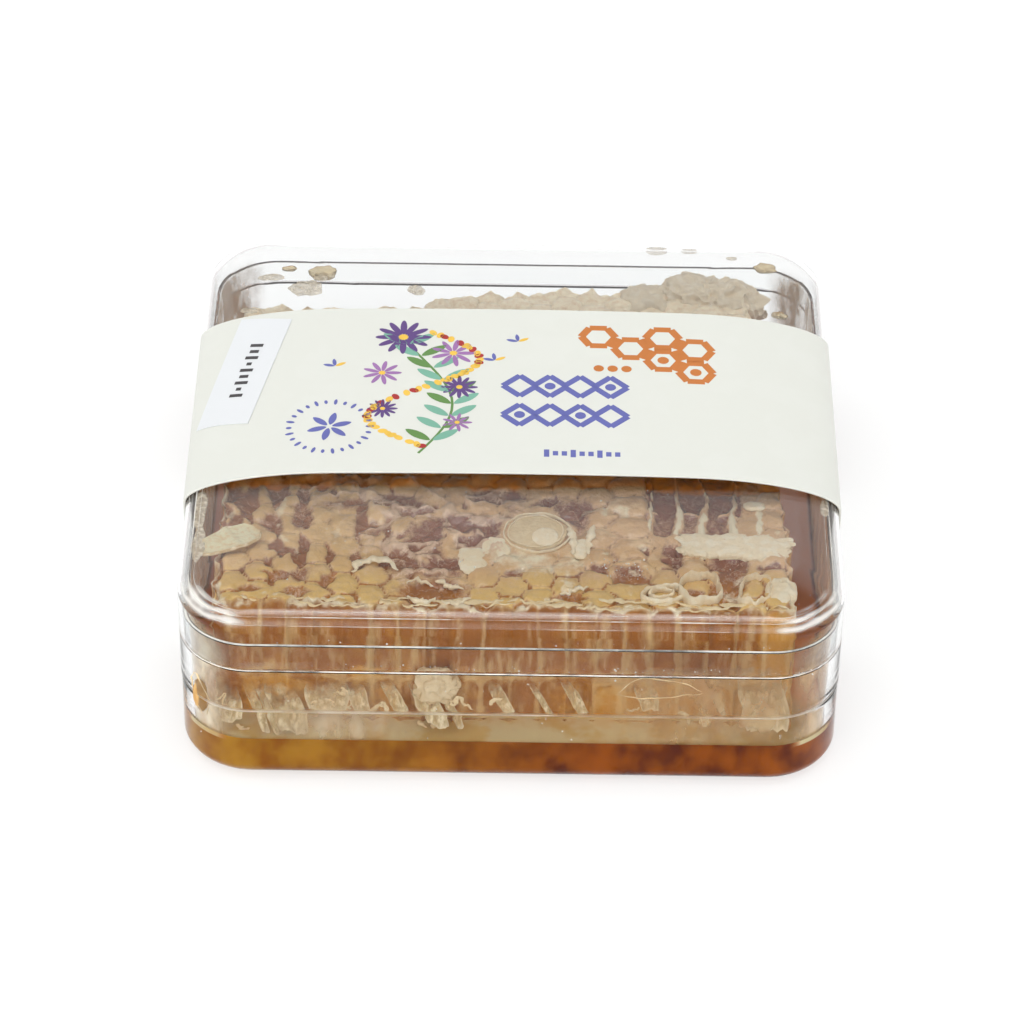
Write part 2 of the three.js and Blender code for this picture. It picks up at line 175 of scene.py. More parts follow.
@contextmanager
def edit_mode(piece: Object, select: str = "SELECT") -> Iterator[None]:
    """Edit mode on one piece, with all of its points selected or none of them.

    Args:
        piece: The piece.
        select: What the selection is set to, SELECT or DESELECT.

    Yields:
        Nothing, while the piece is in edit mode.
    """
    take(piece)
    bpy.ops.object.mode_set(mode="EDIT")
    bpy.ops.mesh.select_all(action=select)
    yield
    bpy.ops.object.mode_set(mode="OBJECT")


def points_of(piece: Object) -> Array:
    """A piece's points as rows of x, y, z in millimetres."""
    flat = np.empty(len(piece.data.vertices) * 3)
    piece.data.vertices.foreach_get("co", flat)
    return flat.reshape(-1, 3) / MM


def set_points(piece: Object, points: Array) -> None:
    """Moves a piece's points to rows of x, y, z in millimetres."""
    piece.data.vertices.foreach_set("co", (points * MM).ravel())
    piece.data.update()


def store(piece: Object, name: str, values: Array) -> None:
    """Keeps one number a point for the material to read."""
    kept = piece.data.attributes.get(name) or piece.data.attributes.new(name, "FLOAT", "POINT")
    kept.data.foreach_set("value", values.astype(np.float32))


def stored(piece: Object, name: str) -> Array:
    """The numbers that a piece keeps under a name, one a point."""
    values = np.empty(len(piece.data.vertices), np.float32)
    piece.data.attributes[name].data.foreach_get("value", values)
    return values.astype(float)


def primitive(name: str, add: Callable, **settings: object) -> Object:
    """A new primitive under a name, from the operator that adds it.

    Args:
        name: The piece's name.
        add: The operator.
        **settings: The operator's settings.

    Returns:
        The new piece.
    """
    deselect_all()
    add(**settings)
    piece = bpy.context.object
    piece.name = piece.data.name = name
    return piece


def grid_piece(name: str, across: int, along: int, place: Place) -> Object:
    """A grid primitive whose points are moved to their places.

    Args:
        name: The piece's name.
        across: Faces along u.
        along: Faces along v.
        place: Gives x, y and z in millimetres for arrays of u and v from 0 to 1.

    Returns:
        The new piece, with u and v kept as attributes.
    """
    add = bpy.ops.mesh.primitive_grid_add
    piece = primitive(name, add, x_subdivisions=across, y_subdivisions=along, size=1.0)
    flat = points_of(piece) * MM
    u, v = flat[:, 0] + 0.5, flat[:, 1] + 0.5
    store(piece, "u", u)
    store(piece, "v", v)
    set_points(piece, np.stack(place(u, v), axis=1))
    return piece


def weld(piece: Object, distance: float = 0.002) -> None:
    """Merges points that lie within a distance in millimetres."""
    with edit_mode(piece):
        bpy.ops.mesh.remove_doubles(threshold=distance * MM)


def close_holes(piece: Object) -> None:
    """Fills every open rim with one face."""
    with edit_mode(piece, "DESELECT"):
        bpy.ops.mesh.select_non_manifold()
        bpy.ops.mesh.fill_holes(sides=0)


def face_outwards(piece: Object) -> None:
    """Turns a closed piece's faces outwards."""
    with edit_mode(piece):
        bpy.ops.mesh.normals_make_consistent(inside=False)


def smooth(piece: Object, angle: float = 40.0) -> None:
    """Smooth shading, with edges sharper than an angle in degrees kept."""
    take(piece)
    bpy.ops.object.shade_smooth_by_angle(angle=math.radians(angle))


def apply_modifiers(piece: Object) -> None:
    """Applies every modifier of a piece, in order."""
    take(piece)
    for modifier in list(piece.modifiers):
        bpy.ops.object.modifier_apply(modifier=modifier.name)


def solidify(piece: Object, thick: float, offset: float = 1.0) -> None:
    """Gives a sheet a thickness in millimetres, over it at offset 1 and round it at 0."""
    solid = piece.modifiers.new("thickness", "SOLIDIFY")
    solid.thickness = thick * MM
    solid.offset = offset
    apply_modifiers(piece)


def closed_grid(name: str, across: int, along: int, place: Place, angle: float) -> Object:
    """A grid piece whose borders meet, welded, faced outwards and smooth up to an angle in degrees.

    Args:
        name: The piece's name.
        across, along: How many faces there are each way.
        place: Gives the points for two shares.
        angle: The steepest angle between two faces that is still smooth.

    Returns:
        The piece.
    """
    piece = grid_piece(name, across, along, place)
    weld(piece)
    face_outwards(piece)
    smooth(piece, angle)
    return piece


def joined(name: str, parts: Sequence[Object]) -> Object:
    """Joins parts into one piece under a name.

    Args:
        name: The piece's name.
        parts: What it is joined from.

    Returns:
        The piece.
    """
    deselect_all()
    for part in parts:
        part.select_set(True)
    bpy.context.view_layer.objects.active = parts[0]
    bpy.ops.object.join()
    parts[0].name = parts[0].data.name = name
    return parts[0]


def finish_piece(
    piece: Object,
    materials: Material | Sequence[Material],
    nodes: Sequence[str] = (),
) -> None:
    """Dresses a piece, lets it ride on the pack and reports it.

    Args:
        piece: The piece, with its place in its mesh.
        materials: Its material, or its materials in the order of its faces' numbers.
        nodes: CAD nodes that it stands for.
    """
    numbers = np.empty(len(piece.data.polygons), int)
    piece.data.polygons.foreach_get("material_index", numbers)
    piece.data.materials.clear()
    for material in [materials] if isinstance(materials, Material) else materials:
        piece.data.materials.append(material)
    piece.data.polygons.foreach_set("material_index", numbers % len(piece.data.materials))
    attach(piece, "root")
    if nodes:
        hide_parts(*nodes)
    piece.data.calc_loop_triangles()
    LOG.info("%s: %d triangles", piece.name, len(piece.data.loop_triangles))


class Sheet:
    """Short calls for building one node tree."""

    def __init__(self, tree: bpy.types.NodeTree) -> None:
        """Keeps the tree that nodes are added to."""
        self.tree = tree

    def add(self, kind: str, inputs: dict | None = None, **settings: object) -> bpy.types.Node:
        """Adds a node.

        Args:
            kind: The node's type without its ShaderNode prefix.
            inputs: Input names or numbers with values or output sockets.
            **settings: Properties of the node.

        Returns:
            The new node.
        """
        node = self.tree.nodes.new("ShaderNode" + kind)
        for name, value in settings.items():
            setattr(node, name, value)
        self.fill(node, inputs or {})
        return node

    def fill(self, node: bpy.types.Node, inputs: dict) -> None:
        """Links sockets to a node's inputs, and sets plain values on the inputs themselves.

        Args:
            node: The node.
            inputs: A socket or a value for each input's name or place.
        """
        for name, value in inputs.items():
            if isinstance(value, Socket):
                self.tree.links.new(value, node.inputs[name])
            else:
                node.inputs[name].default_value = value

    def maths(self, operation: str, first: object, second: object = 0.0) -> Socket:
        """The result of one sum on two values."""
        return self.add("Math", {0: first, 1: second}, operation=operation).outputs[0]

    def times(self, first: object, second: object) -> Socket:
        """The product of two values."""
        return self.maths("MULTIPLY", first, second)

    def plus(self, first: object, second: object) -> Socket:
        """The sum of two values."""
        return self.maths("ADD", first, second)

    def rest(self, share: object) -> Socket:
        """What a share leaves of 1."""
        return self.maths("SUBTRACT", 1.0, share)

    def mix(self, share: object, first: object, second: object) -> Socket:
        """A colour between two colours."""
        return self.add("Mix", {0: share, 6: first, 7: second}, data_type="RGBA").outputs[2]

    def ramp(self, value: object, low: float, high: float) -> Socket:
        """A smooth share from 0 at low to 1 at high."""
        inputs = {"Value": value, "From Min": low, "From Max": high}
        return self.add("MapRange", inputs, interpolation_type="SMOOTHSTEP").outputs[0]

    def attribute(self, name: str) -> Socket:
        """A number that the mesh keeps for each point."""
        return self.add("Attribute", attribute_name=name).outputs["Fac"]

    def place(self) -> Socket:
        """The point's place on the object."""
        return self.add("TexCoord").outputs["Object"]

    def noise(self, size: float, detail: float = 3.0, rough: float = 0.5, tall: float = 1.0) -> Socket:
        """Noise over the object's own space.

        Args:
            size: Size of its swells in millimetres.
            detail: How many finer layers lie over them.
            rough: Strength of each layer against the one before.
            tall: How much longer the swells are upwards.

        Returns:
            Values from 0 to 1.
        """
        squeeze = {0: self.place(), 1: (1.0, 1.0, 1.0 / tall)}
        where = self.add("VectorMath", squeeze, operation="MULTIPLY").outputs[0]
        inputs = {"Vector": where, "Scale": 1.0 / (size * MM), "Detail": detail, "Roughness": rough}
        return self.add("TexNoise", inputs).outputs[0]

    def mottled(self, first: Tone, second: Tone, patch: float, grain: float) -> Socket:
        """Two tones in patches with a grain over them, both of a size in millimetres."""
        inputs = {"First": first, "Second": second, "Patch": 1 / (patch * MM), "Grain": 1 / (grain * MM)}
        return self.add("Group", inputs, node_tree=mottle_group()).outputs["Color"]

    def bump(self, height: object, depth: float, normal: object = None) -> Socket:
        """A bumped normal, with the depth in millimetres.

        Args:
            height: Height of the bumps, from 0 to 1.
            depth: Their depth at a height of 1.
            normal: A normal that they are added to.

        Returns:
            The normal.
        """
        inputs = {"Height": height, "Strength": 1.0, "Distance": depth * MM}
        if normal is not None:
            inputs["Normal"] = normal
        return self.add("Bump", inputs).outputs[0]


def mottle_group() -> bpy.types.NodeTree:
    """The shared group of two colours in soft patches, with a fine grain over them."""
    kept = bpy.data.node_groups.get("mottle")
    if kept is not None:
        return kept
    group = bpy.data.node_groups.new("mottle", "ShaderNodeTree")
    for label, kind in (("First", "Color"), ("Second", "Color"), ("Patch", "Float"), ("Grain", "Float")):
        group.interface.new_socket(label, in_out="INPUT", socket_type="NodeSocket" + kind)
    group.interface.new_socket("Color", in_out="OUTPUT", socket_type="NodeSocketColor")
    entry, leave = group.nodes.new("NodeGroupInput").outputs, group.nodes.new("NodeGroupOutput")
    sheet = Sheet(group)
    where = sheet.place()
    patch = sheet.add("TexNoise", {"Vector": where, "Scale": entry["Patch"], "Detail": 2.0})
    grain = sheet.add("TexNoise", {"Vector": where, "Scale": entry["Grain"], "Detail": 4.0})
    share = sheet.ramp(patch.outputs[0], 0.36, 0.64)
    fine = sheet.plus(sheet.times(grain.outputs[0], 0.5), 0.38)
    mask = sheet.add("Clamp", {0: sheet.plus(sheet.times(share, 0.75), fine)}).outputs[0]
    sheet.fill(leave, {"Color": sheet.mix(mask, entry["First"], entry["Second"])})
    return group


def bare_material(name: str) -> tuple[Material, Sheet, bpy.types.Node]:
    """A new material with only its Principled shader.

    Returns:
        The material, a sheet on its nodes and the shader node.
    """
    material = bpy.data.materials.new(name)
    material.use_nodes = True
    sheet = Sheet(material.node_tree)
    return material, sheet, material.node_tree.nodes["Principled BSDF"]


def colour(red: float, green: float, blue: float) -> Tone:
    """A screen colour as the shader's linear colour.

    Args:
        red, green, blue: Values from 0 to 255.

    Returns:
        The colour, with full cover.
    """

    def linear(value: float) -> float:
        """One channel's linear value."""
        share = value / 255.0
        return share / 12.92 if share <= 0.04045 else ((share + 0.055) / 1.055) ** 2.4

    return (linear(red), linear(green), linear(blue), 1.0)


@dataclass(frozen=True)
class ClearPlastic:
    """Crystal-clear moulded plastic with faint moulding ripples."""

    name: str
    reflection: float
    clear: Tone = (0.975, 0.985, 0.985, 1.0)
    refraction: float = 1.5
    ripple_size: float = 9.0
    ripple_depth: float = 0.012
    frost: float = 0.55

    def build(self) -> Material:
        """Returns the material."""
        material, sheet, shader = bare_material(self.name)
        scratch = sheet.ramp(sheet.noise(0.9, 4.0, 0.7), 0.55, 0.8)
        frost = sheet.times(sheet.attribute("frost"), self.frost)
        sheet.fill(shader, {
            "Base Color": self.clear,
            "Transmission Weight": 1.0,
            "Specular Tint": (self.reflection,) * 3 + (1.0,),
            "IOR": self.refraction,
            "Roughness": sheet.plus(sheet.times(scratch, 0.03), frost),
            "Normal": sheet.bump(sheet.noise(self.ripple_size, 1.0), self.ripple_depth),
        })
        return material


@dataclass(frozen=True)
class EdgeShine:
    """Painted highlight: the glowing, broken bright line of a moulded edge or of a tiny bubble."""

    tone: Tone = (0.95, 0.93, 0.88, 1.0)
    shine: float = 0.3
    cover: Pair = (0.1, 0.6)
    patch: float = 12.0
    fade: Pair = (0.04, -0.03)

    def build(self) -> Material:
        """Returns the material."""
        material, sheet, shader = bare_material("edge_shine")
        broken = sheet.ramp(sheet.noise(self.patch, 4.0, 0.6), 0.35, 0.65)
        cover = sheet.plus(sheet.times(broken, self.cover[1]), self.cover[0])
        along = sheet.add("SeparateXYZ", {0: sheet.place()}).outputs["Y"]
        # The emission makes the line glow as a painted highlight; alpha breaks it up and fades it towards
        # the back.
        sheet.fill(shader, {
            "Base Color": self.tone,
            "Emission Color": self.tone,
            "Emission Strength": self.shine,
            "Roughness": 0.25,
            "Alpha": sheet.times(cover, sheet.ramp(along, *self.fade)),
        })
        return material


@dataclass(frozen=True)
class CornerShine:
    """Painted reflection: the soft white shine that lies on the lid's rounded corners, glowing."""

    tone: Tone = (0.96, 0.95, 0.92, 1.0)
    shine: float = 0.25

    def build(self) -> Material:
        """Returns the material."""
        material, sheet, shader = bare_material("corner_shine")
        # The emission makes the sheet glow: a painted reflection, not a lamp.
        sheet.fill(shader, {
            "Base Color": self.tone,
            "Emission Color": self.tone,
            "Emission Strength": self.shine,
            "Alpha": sheet.attribute("cover"),
        })
        return material


@dataclass(frozen=True)
class SmearedFilm:
    """A thin streaky film of honey and wax: tan to the left, brown to the right."""

    left: Tone = colour(242, 226, 196)
    left_dark: Tone = colour(218, 188, 144)
    right: Tone = colour(214, 180, 130)
    right_dark: Tone = colour(190, 146, 98)
    back: Tone = colour(172, 152, 122)
    right_reach: Pair = (-0.02, 0.02)
    back_reach: Pair = (0.02, 0.045)
    # Emission of the film's colour: painted light standing in for light that shines through the film.
    light_through: float = 0.12

    def build(self) -> Material:
        """Returns the material."""
        material, sheet, shader = bare_material("smeared_film")
        streak = sheet.ramp(sheet.noise(3.2, 3.0, 0.5, 3.0), 0.3, 0.7)
        axes = sheet.add("SeparateXYZ", {0: sheet.place()}).outputs
        side = sheet.ramp(axes["X"], *self.right_reach)
        light = sheet.mix(side, self.left, self.right)
        dark = sheet.mix(side, self.left_dark, self.right_dark)
        film = sheet.mix(streak, light, dark)
        film = sheet.mix(sheet.ramp(axes["Y"], *self.back_reach), film, self.back)
        torn = sheet.ramp(sheet.noise(4.4, 4.0, 0.6, 2.0), 0.34, 0.66)
        cover = sheet.plus(sheet.times(torn, 0.75), 0.5)
        sheet.fill(shader, {
            "Base Color": film,
            "Emission Color": film,
            "Emission Strength": self.light_through,
            "Roughness": 0.15,
            "Alpha": sheet.times(sheet.attribute("cover"), cover),
            "Normal": sheet.bump(sheet.noise(2.0, 3.0, 0.5, 3.0), 0.1),
        })
        return material


@dataclass(frozen=True)
class RunnyHoney:
    """Amber honey: golden to the left, red-brown to the right, pale along the front of its top as a painted
    reflection.
    """

    refraction: float = 1.12
    see_through: float = 0.2
    golden: Tone = colour(214, 156, 44)
    golden_dark: Tone = colour(172, 102, 12)
    brown: Tone = colour(190, 98, 8)
    brown_dark: Tone = colour(108, 38, 2)
    sunk: Tone = colour(236, 142, 62)
    # front, front_dark: pale tones of the top's front, a painted reflection of the wax and light it faces.
    front: Tone = colour(255, 240, 184)
    front_dark: Tone = colour(242, 206, 128)
    # glow: emission on the top away from its pale front, painted light in the shaded gaps between comb and
    # wall.
    glow: Tone = (0.07, 0.026, 0.010, 1.0)
    brown_reach: Pair = (-0.045, 0.018)
    deep_tone: Tone = (0.90, 0.52, 0.12, 1.0)
    density: float = 60.0

    def build(self) -> Material:
        """Returns the material."""
        material, sheet, shader = bare_material("runny_honey")
        cloud = sheet.ramp(sheet.noise(6.0, 3.0, 0.5, 1.3), 0.32, 0.68)
        golden = sheet.mix(cloud, self.golden, self.golden_dark)
        brown = sheet.mix(cloud, self.brown, self.brown_dark)
        across = sheet.add("SeparateXYZ", {0: sheet.place()}).outputs["X"]
        body = sheet.mix(sheet.ramp(across, *self.brown_reach), golden, brown)
        front = sheet.mix(sheet.ramp(sheet.noise(6.0, 3.0), 0.4, 0.62), self.front, self.front_dark)
        top, pale = sheet.attribute("top"), sheet.attribute("pale")
        # Where the painted glow shows: the top, less its pale front.
        deep = sheet.times(top, sheet.rest(pale))
        sheet.fill(shader, {
            "Base Color": sheet.mix(top, body, sheet.mix(pale, self.sunk, front)),
            "Emission Color": sheet.mix(deep, (0.0, 0.0, 0.0, 1.0), self.glow),
            "Emission Strength": 1.0,
            "Transmission Weight": self.see_through,
            "IOR": self.refraction,
            "Roughness": sheet.plus(sheet.times(cloud, 0.1), 0.03),
            "Coat Weight": top,
            "Coat Roughness": 0.03,
            "Normal": sheet.bump(sheet.noise(3.5, 2.0), 0.05),
        })
        depth = sheet.add("VolumeAbsorption", {"Color": self.deep_tone, "Density": self.density})
        sheet.fill(sheet.tree.nodes["Material Output"], {"Volume": depth.outputs[0]})
        return material


@dataclass(frozen=True)
class CombWax:
    """Capped comb: pale caps, wet brown gaps with painted shadow lines, milky veils, cream torn rims and
    amber cut cells.
    """

    cap: Tone = colour(254, 226, 184)
    cap_dark: Tone = colour(222, 178, 130)
    cap_warm: Tone = colour(232, 190, 112)
    wet: Tone = colour(140, 82, 58)
    wet_warm: Tone = colour(176, 106, 4)
    # amber: saturated tone painted on the strip in the sleeve's shadow, painted shade.
    amber: Tone = colour(255, 150, 24)
    veil: Tone = colour(242, 208, 176)
    cream: Tone = colour(252, 236, 204)
    window: Tone = colour(220, 158, 66)
    window_dark: Tone = colour(168, 98, 22)
    wall: Tone = colour(238, 204, 146)
    tan: Tone = colour(226, 186, 118)
    coat: float = 0.6

    def build(self) -> Material:
        """Returns the material."""
        material, sheet, shader = bare_material("comb_wax")
        ragged = sheet.times(sheet.maths("SUBTRACT", sheet.noise(1.1, 5.0, 0.65), 0.5), 0.9)

        def mask(name: str, low: float = 0.2, high: float = 0.75) -> Socket:
            """A kept number with a ragged edge."""
            return sheet.ramp(sheet.plus(sheet.attribute(name), ragged), low, high)

        warm = sheet.attribute("warm")
        cap = sheet.mottled(self.cap, self.cap_dark, 2.6, 0.5)
        cap = sheet.mix(sheet.attribute("tone"), cap, self.cap_dark)
        top = sheet.mix(warm, cap, self.cap_warm)
        dark = mask("dark")
        # The dark mask brings in the wet tones: wet spots and blobs, and the painted shadow lines under the
        # caps.
        top = sheet.mix(dark, top, sheet.mix(warm, self.wet, self.wet_warm))
        swirl = sheet.maths("ABSOLUTE", sheet.maths("SUBTRACT", sheet.noise(2.4, 5.0, 0.6), 0.5))
        wide = sheet.plus(sheet.attribute("veil"), 0.2)
        wide = sheet.plus(wide, sheet.times(dark, 0.08))
        vein = sheet.times(sheet.ramp(swirl, 0.03, 0.0), wide)
        rim = sheet.times(dark, sheet.rest(dark))
        light = sheet.plus(sheet.times(rim, 0.7), vein)
        light = sheet.plus(light, sheet.times(mask("veil", 0.1, 0.9), 0.7))
        top = sheet.mix(sheet.maths("MINIMUM", light, 0.85), top, self.veil)
        cut = sheet.mottled(self.window, self.window_dark, 4.0, 0.9)
        cut = sheet.mix(sheet.attribute("tone"), cut, self.window_dark)
        streak = sheet.ramp(sheet.noise(2.0, 4.0, 0.55, 4.0), 0.46, 0.7)
        cut = sheet.mix(sheet.times(streak, 0.5), cut, self.wall)
        tan = sheet.mottled(self.tan, self.window, 2.6, 0.6)
        cut = sheet.mix(sheet.times(mask("tan"), 0.85), cut, tan)
        cut = sheet.mix(sheet.times(mask("rib"), 0.45), cut, self.wall)
        body = sheet.mix(sheet.attribute("side"), top, cut)
        # Painted shade: the strip in the sleeve's shadow takes the saturated amber tone.
        body = sheet.mix(sheet.attribute("amber"), body, self.amber)
        fine = sheet.bump(sheet.noise(0.3, 4.0, 0.65), 0.08)
        sheet.fill(shader, {
            "Base Color": sheet.mix(mask("pale"), body, self.cream),
            "Roughness": sheet.plus(sheet.times(sheet.rest(dark), 0.22), 0.1),
            "Coat Weight": sheet.times(sheet.rest(sheet.attribute("side")), self.coat),
            "Coat Roughness": 0.06,
            "IOR": 1.4,
            "Normal": sheet.bump(sheet.noise(1.4, 4.0, 0.6), 0.34, fine),
        })
        return material


@dataclass(frozen=True)
class TornWax:
    """Thin wet wax in one pale tone, a little see-through at its edges."""

    name: str
    light: Tone
    dark: Tone
    transmission: float = 0.3
    roughness: float = 0.3

    def build(self) -> Material:
        """Returns the material."""
        material, sheet, shader = bare_material(self.name)
        sheet.fill(shader, {
            "Base Color": sheet.mottled(self.light, self.dark, 1.8, 0.4),
            "Transmission Weight": self.transmission,
            "Roughness": self.roughness,
            "IOR": 1.44,
            "Normal": sheet.bump(sheet.noise(0.7, 3.0), 0.15),
        })
        return material


@dataclass(frozen=True)
class TornSheet:
    """A wax sheet that shows amber through its middle and has paler, thicker edges."""

    name: str
    edge: Tone
    middle: Tone
    cover: float = 0.6

    def build(self) -> Material:
        """Returns the material."""
        material, sheet, shader = bare_material(self.name)
        streak = sheet.times(sheet.ramp(sheet.noise(0.9, 4.0, 0.6, 3.0), 0.4, 0.7), 0.8)
        near = sheet.maths("MAXIMUM", sheet.attribute("edge"), streak)
        thick = sheet.plus(sheet.times(near, 1.0 - self.cover), self.cover)
        sheet.fill(shader, {
            "Base Color": sheet.mix(near, self.middle, self.edge),
            "Alpha": sheet.times(thick, sheet.rest(sheet.attribute("root"))),
            "Roughness": 0.16,
            "IOR": 1.44,
            "Normal": sheet.bump(sheet.noise(0.6, 3.0, 0.5, 3.0), 0.2),
        })
        return material


@dataclass(frozen=True)
class PrintedCard:
    """Smooth coated card or paper with a faint fibre."""

    name: str
    paper: Tone
    shade: Tone
    roughness: float = 0.55

    def build(self) -> Material:
        """Returns the material."""
        material, sheet, shader = bare_material(self.name)
        sheet.fill(shader, {
            "Base Color": sheet.mottled(self.paper, self.shade, 7.0, 0.25),
            "Roughness": self.roughness,
            "Coat Weight": 0.15,
            "Coat Roughness": 0.35,
            "Normal": sheet.bump(sheet.noise(0.2, 3.0), 0.006),
        })
        return material


@dataclass
class ClearBox:
    """The box's two halves, both bodies of round-cornered square rings."""

    half: float = 55.0
    corner: float = 12.2
    lift: float = 0.45
    base_wall: float = 1.6
    lid_wall: float = 0.8
    lid_top_wall: float = 1.05
    collar_wall: float = 0.8
    floor: float = 1.4
    bottom_edge: float = 2.6
    inner_bottom_edge: float = 1.8
    mould_step: float = 14.4
    mould_depth: float = 0.12
    ledge: float = 23.0
    collar_top: float = 28.0
    shoulder: float = 31.4
    rise: float = 5.4
    run: float = 25.0
    fit_gap: float = 0.15
    face_gap: float = 0.3
    edge_round: float = 0.06
    # Height over the shoulder below which the lid takes the copy of the plastic with dimmed reflections.
    dimmed_reflection_rise: float = 1.2
    # Reach, corner span, front fade, depth and cover of the glowing sheet that paints the corners'
    # reflection.
    corner_shine_reach: Pair = (51.4, 54.8)
    corner_shine_span: Pair = (96.0, 99.5)
    corner_shine_front: Pair = (-30.0, -42.0)
    corner_shine_depth: float = 0.3
    corner_shine_cover: float = 0.85
    groove: float = 0.08
    # Half width and half thickness of each glowing bead along the lid's shoulder, painted highlights where
    # the lamp is mirrored.
    shoulder_highlights: tuple = ((52.3, 0.04), (53.2, 0.1), (54.4, 0.04))
    corner_steps: int = 18
    side_steps: int = 6

    @property
    def inner(self) -> float:
        """Half width inside the base."""
        return self.half - self.base_wall

    @property
    def around(self) -> int:
        """Points in one ring."""
        return 4 * (self.corner_steps + self.side_steps)

    def ring(self, half: Array, index: Array) -> tuple[Array, Array]:
        """Points of a round-cornered square.

        Args:
            half: Half width of each point's ring.
            index: Place of each point along its ring, in whole steps.

        Returns:
            x and y of each point.
        """
        quarter_steps = self.corner_steps + self.side_steps
        index = index % self.around
        quarter, along = index // quarter_steps, index % quarter_steps
        start = self._corner_point(half, quarter, np.minimum(along, self.corner_steps))
        goal = self._corner_point(half, (quarter + 1) % 4, np.zeros_like(along))
        share = np.clip((along - self.corner_steps) / self.side_steps, 0.0, 1.0)
        return tuple(a + (b - a) * share for a, b in zip(start, goal))

    def _corner_point(self, half: Array, quarter: Array, along: Array) -> tuple[Array, Array]:
        """A point on one corner's arc, a number of steps along it.

        Args:
            half: Half width of each point's ring.
            quarter: Which corner it is, from 0 to 3.
            along: Steps along the arc.

        Returns:
            x and y of each point.
        """
        inset = self.half - half
        radius = self.corner - np.minimum(inset, 3.0) - 0.1 * np.maximum(inset - 3.0, 0.0)
        angle = (quarter + along / self.corner_steps) * math.pi / 2
        sign_x = np.where((quarter == 0) | (quarter == 3), 1.0, -1.0)
        sign_y = np.where(quarter < 2, 1.0, -1.0)
        middle = half - radius
        return sign_x * middle + radius * np.cos(angle), sign_y * middle + radius * np.sin(angle)

    def body(self, name: str, profile: Sequence[Pair]) -> Object:
        """A closed body of round-cornered square rings.

        Args:
            name: The body's name.
            profile: Half width and height of each ring, from the middle of one face round to the other.

        Returns:
            The body, with a frost for each point that dulls its moulded rims.
        """
        rows = np.array(profile)

        def place(u: Array, v: Array) -> Axes:
            """Points of each ring."""
            row = np.rint(v * (len(rows) - 1)).astype(int)
            x, y = self.ring(rows[row, 0], np.rint(u * self.around).astype(int))
            return x, y, rows[row, 1] + self.lift

        piece = grid_piece(name, self.around, len(rows) - 1, place)
        weld(piece)
        close_holes(piece)
        face_outwards(piece)
        smooth(piece, 35.0)
        z = points_of(piece)[:, 2] - self.lift
        rims = [(self.mould_step, 0.3), (0.0, 1.0)]
        frost = [step(reach, reach * 0.6, np.abs(z - height)) for height, reach in rims]
        store(piece, "frost", np.max(frost, axis=0))
        return piece

    @staticmethod
    def bend(start: Pair, end: Pair, steps: int) -> list[Pair]:
        """A quarter of an ellipse that leaves its start flat and meets its end upright.

        Args:
            start, end: Half width and height of its two ends.
            steps: How many lines it is made of.

        Returns:
            Half width and height of each of its points.
        """
        angles = [k / steps * math.pi / 2 for k in range(steps + 1)]
        width, height = end[0] - start[0], end[1] - start[1]
        return [(start[0] + width * math.sin(a), start[1] + height * (1 - math.cos(a))) for a in angles]

    def pillow(self, half: float, edge: float, height: float, rise: float) -> float:
        """Height of the lid's pillow at a half width."""
        flat = self.half - self.run
        out = max(half - flat, 0.0) / (edge - flat)
        return height + rise * math.sqrt(max(1 - out * out, 0.0))

    def base(self) -> Object:
        """The lower half: a tray with a moulded step, a ledge and a thin collar."""
        half, inner, ledge, top, seam = self.half, self.inner, self.ledge, self.collar_top, self.mould_step
        lower, r = half - self.mould_depth, self.edge_round
        groove = lower - self.groove
        collar = inner + self.collar_wall - self.fit_gap
        foot = (inner - self.inner_bottom_edge, self.floor)
        inside = self.bend(foot, (inner, self.floor + self.inner_bottom_edge), 10)
        return self.body("clear_base", [
            *self.bend((lower - self.bottom_edge, 0.0), (lower, self.bottom_edge), 12),
            (lower, seam - 0.9), (lower, seam - 0.45), (groove, seam - 0.2), (groove, seam),
            (half, seam + self.mould_depth), (half, seam + 0.9),
            (half, ledge - 0.7), (half, ledge - r), (half - r, ledge),
            (collar + r, ledge), (collar, ledge + r),
            (collar, top - 0.7), (collar, top - r), (collar - r, top),
            (inner + r, top), (inner, top - r), (inner, top - 0.7),
            *inside[::-1],
        ])

    def lid(self) -> Object:
        """The upper half: a shallow pillow with a skirt down to the ledge."""
        half, r, shoulder = self.half, self.edge_round, self.shoulder
        inner, low, flat = half - self.lid_wall, self.ledge + self.face_gap, half - self.run
        turns = [k / 22 * math.pi / 2 for k in range(1, 22)]
        outside = [flat + self.run * math.sin(a) for a in turns]
        inside = [flat + (inner - flat) * math.sin(a) for a in turns]
        under, under_rise = shoulder - self.lid_wall, self.rise + self.lid_wall - self.lid_top_wall
        return self.body("clear_lid", [
            *[(h, self.pillow(h, inner, under, under_rise)) for h in (12.0, flat, *inside)],
            (inner, under), (inner, low + 0.6), (inner, low + r), (inner + r, low),
            (half - r, low), (half, low + r), (half, low + 0.6), (half, shoulder),
            *[(h, self.pillow(h, half, shoulder, self.rise)) for h in (12.0, flat, *outside)][::-1],
        ])

    def bead(self, half: float, height: float, thick: float) -> Object:
        """A thin glowing bead round the box: a painted highlight where a moulded edge catches the light.

        Args:
            half: Half width of the bead's ring.
            height: Height of its middle over the foot of the box.
            thick: Half its thickness.

        Returns:
            The bead.
        """
        sides = 8

        def place(u: Array, v: Array) -> Axes:
            """Points round the bead."""
            turn = np.rint(v * sides) / sides * math.tau
            x, y = self.ring(half + thick * np.cos(turn), np.rint(u * self.around).astype(int))
            return x, y, height + self.lift + thick * np.sin(turn)

        return closed_grid("bead", self.around, sides, place, 60.0)

    def painted_corner_shine(self) -> Object:
        """A glowing sheet inside the lid's shoulder that carries the streaky painted reflection of its front
        corners.
        """
        noise = Unevenness(83)

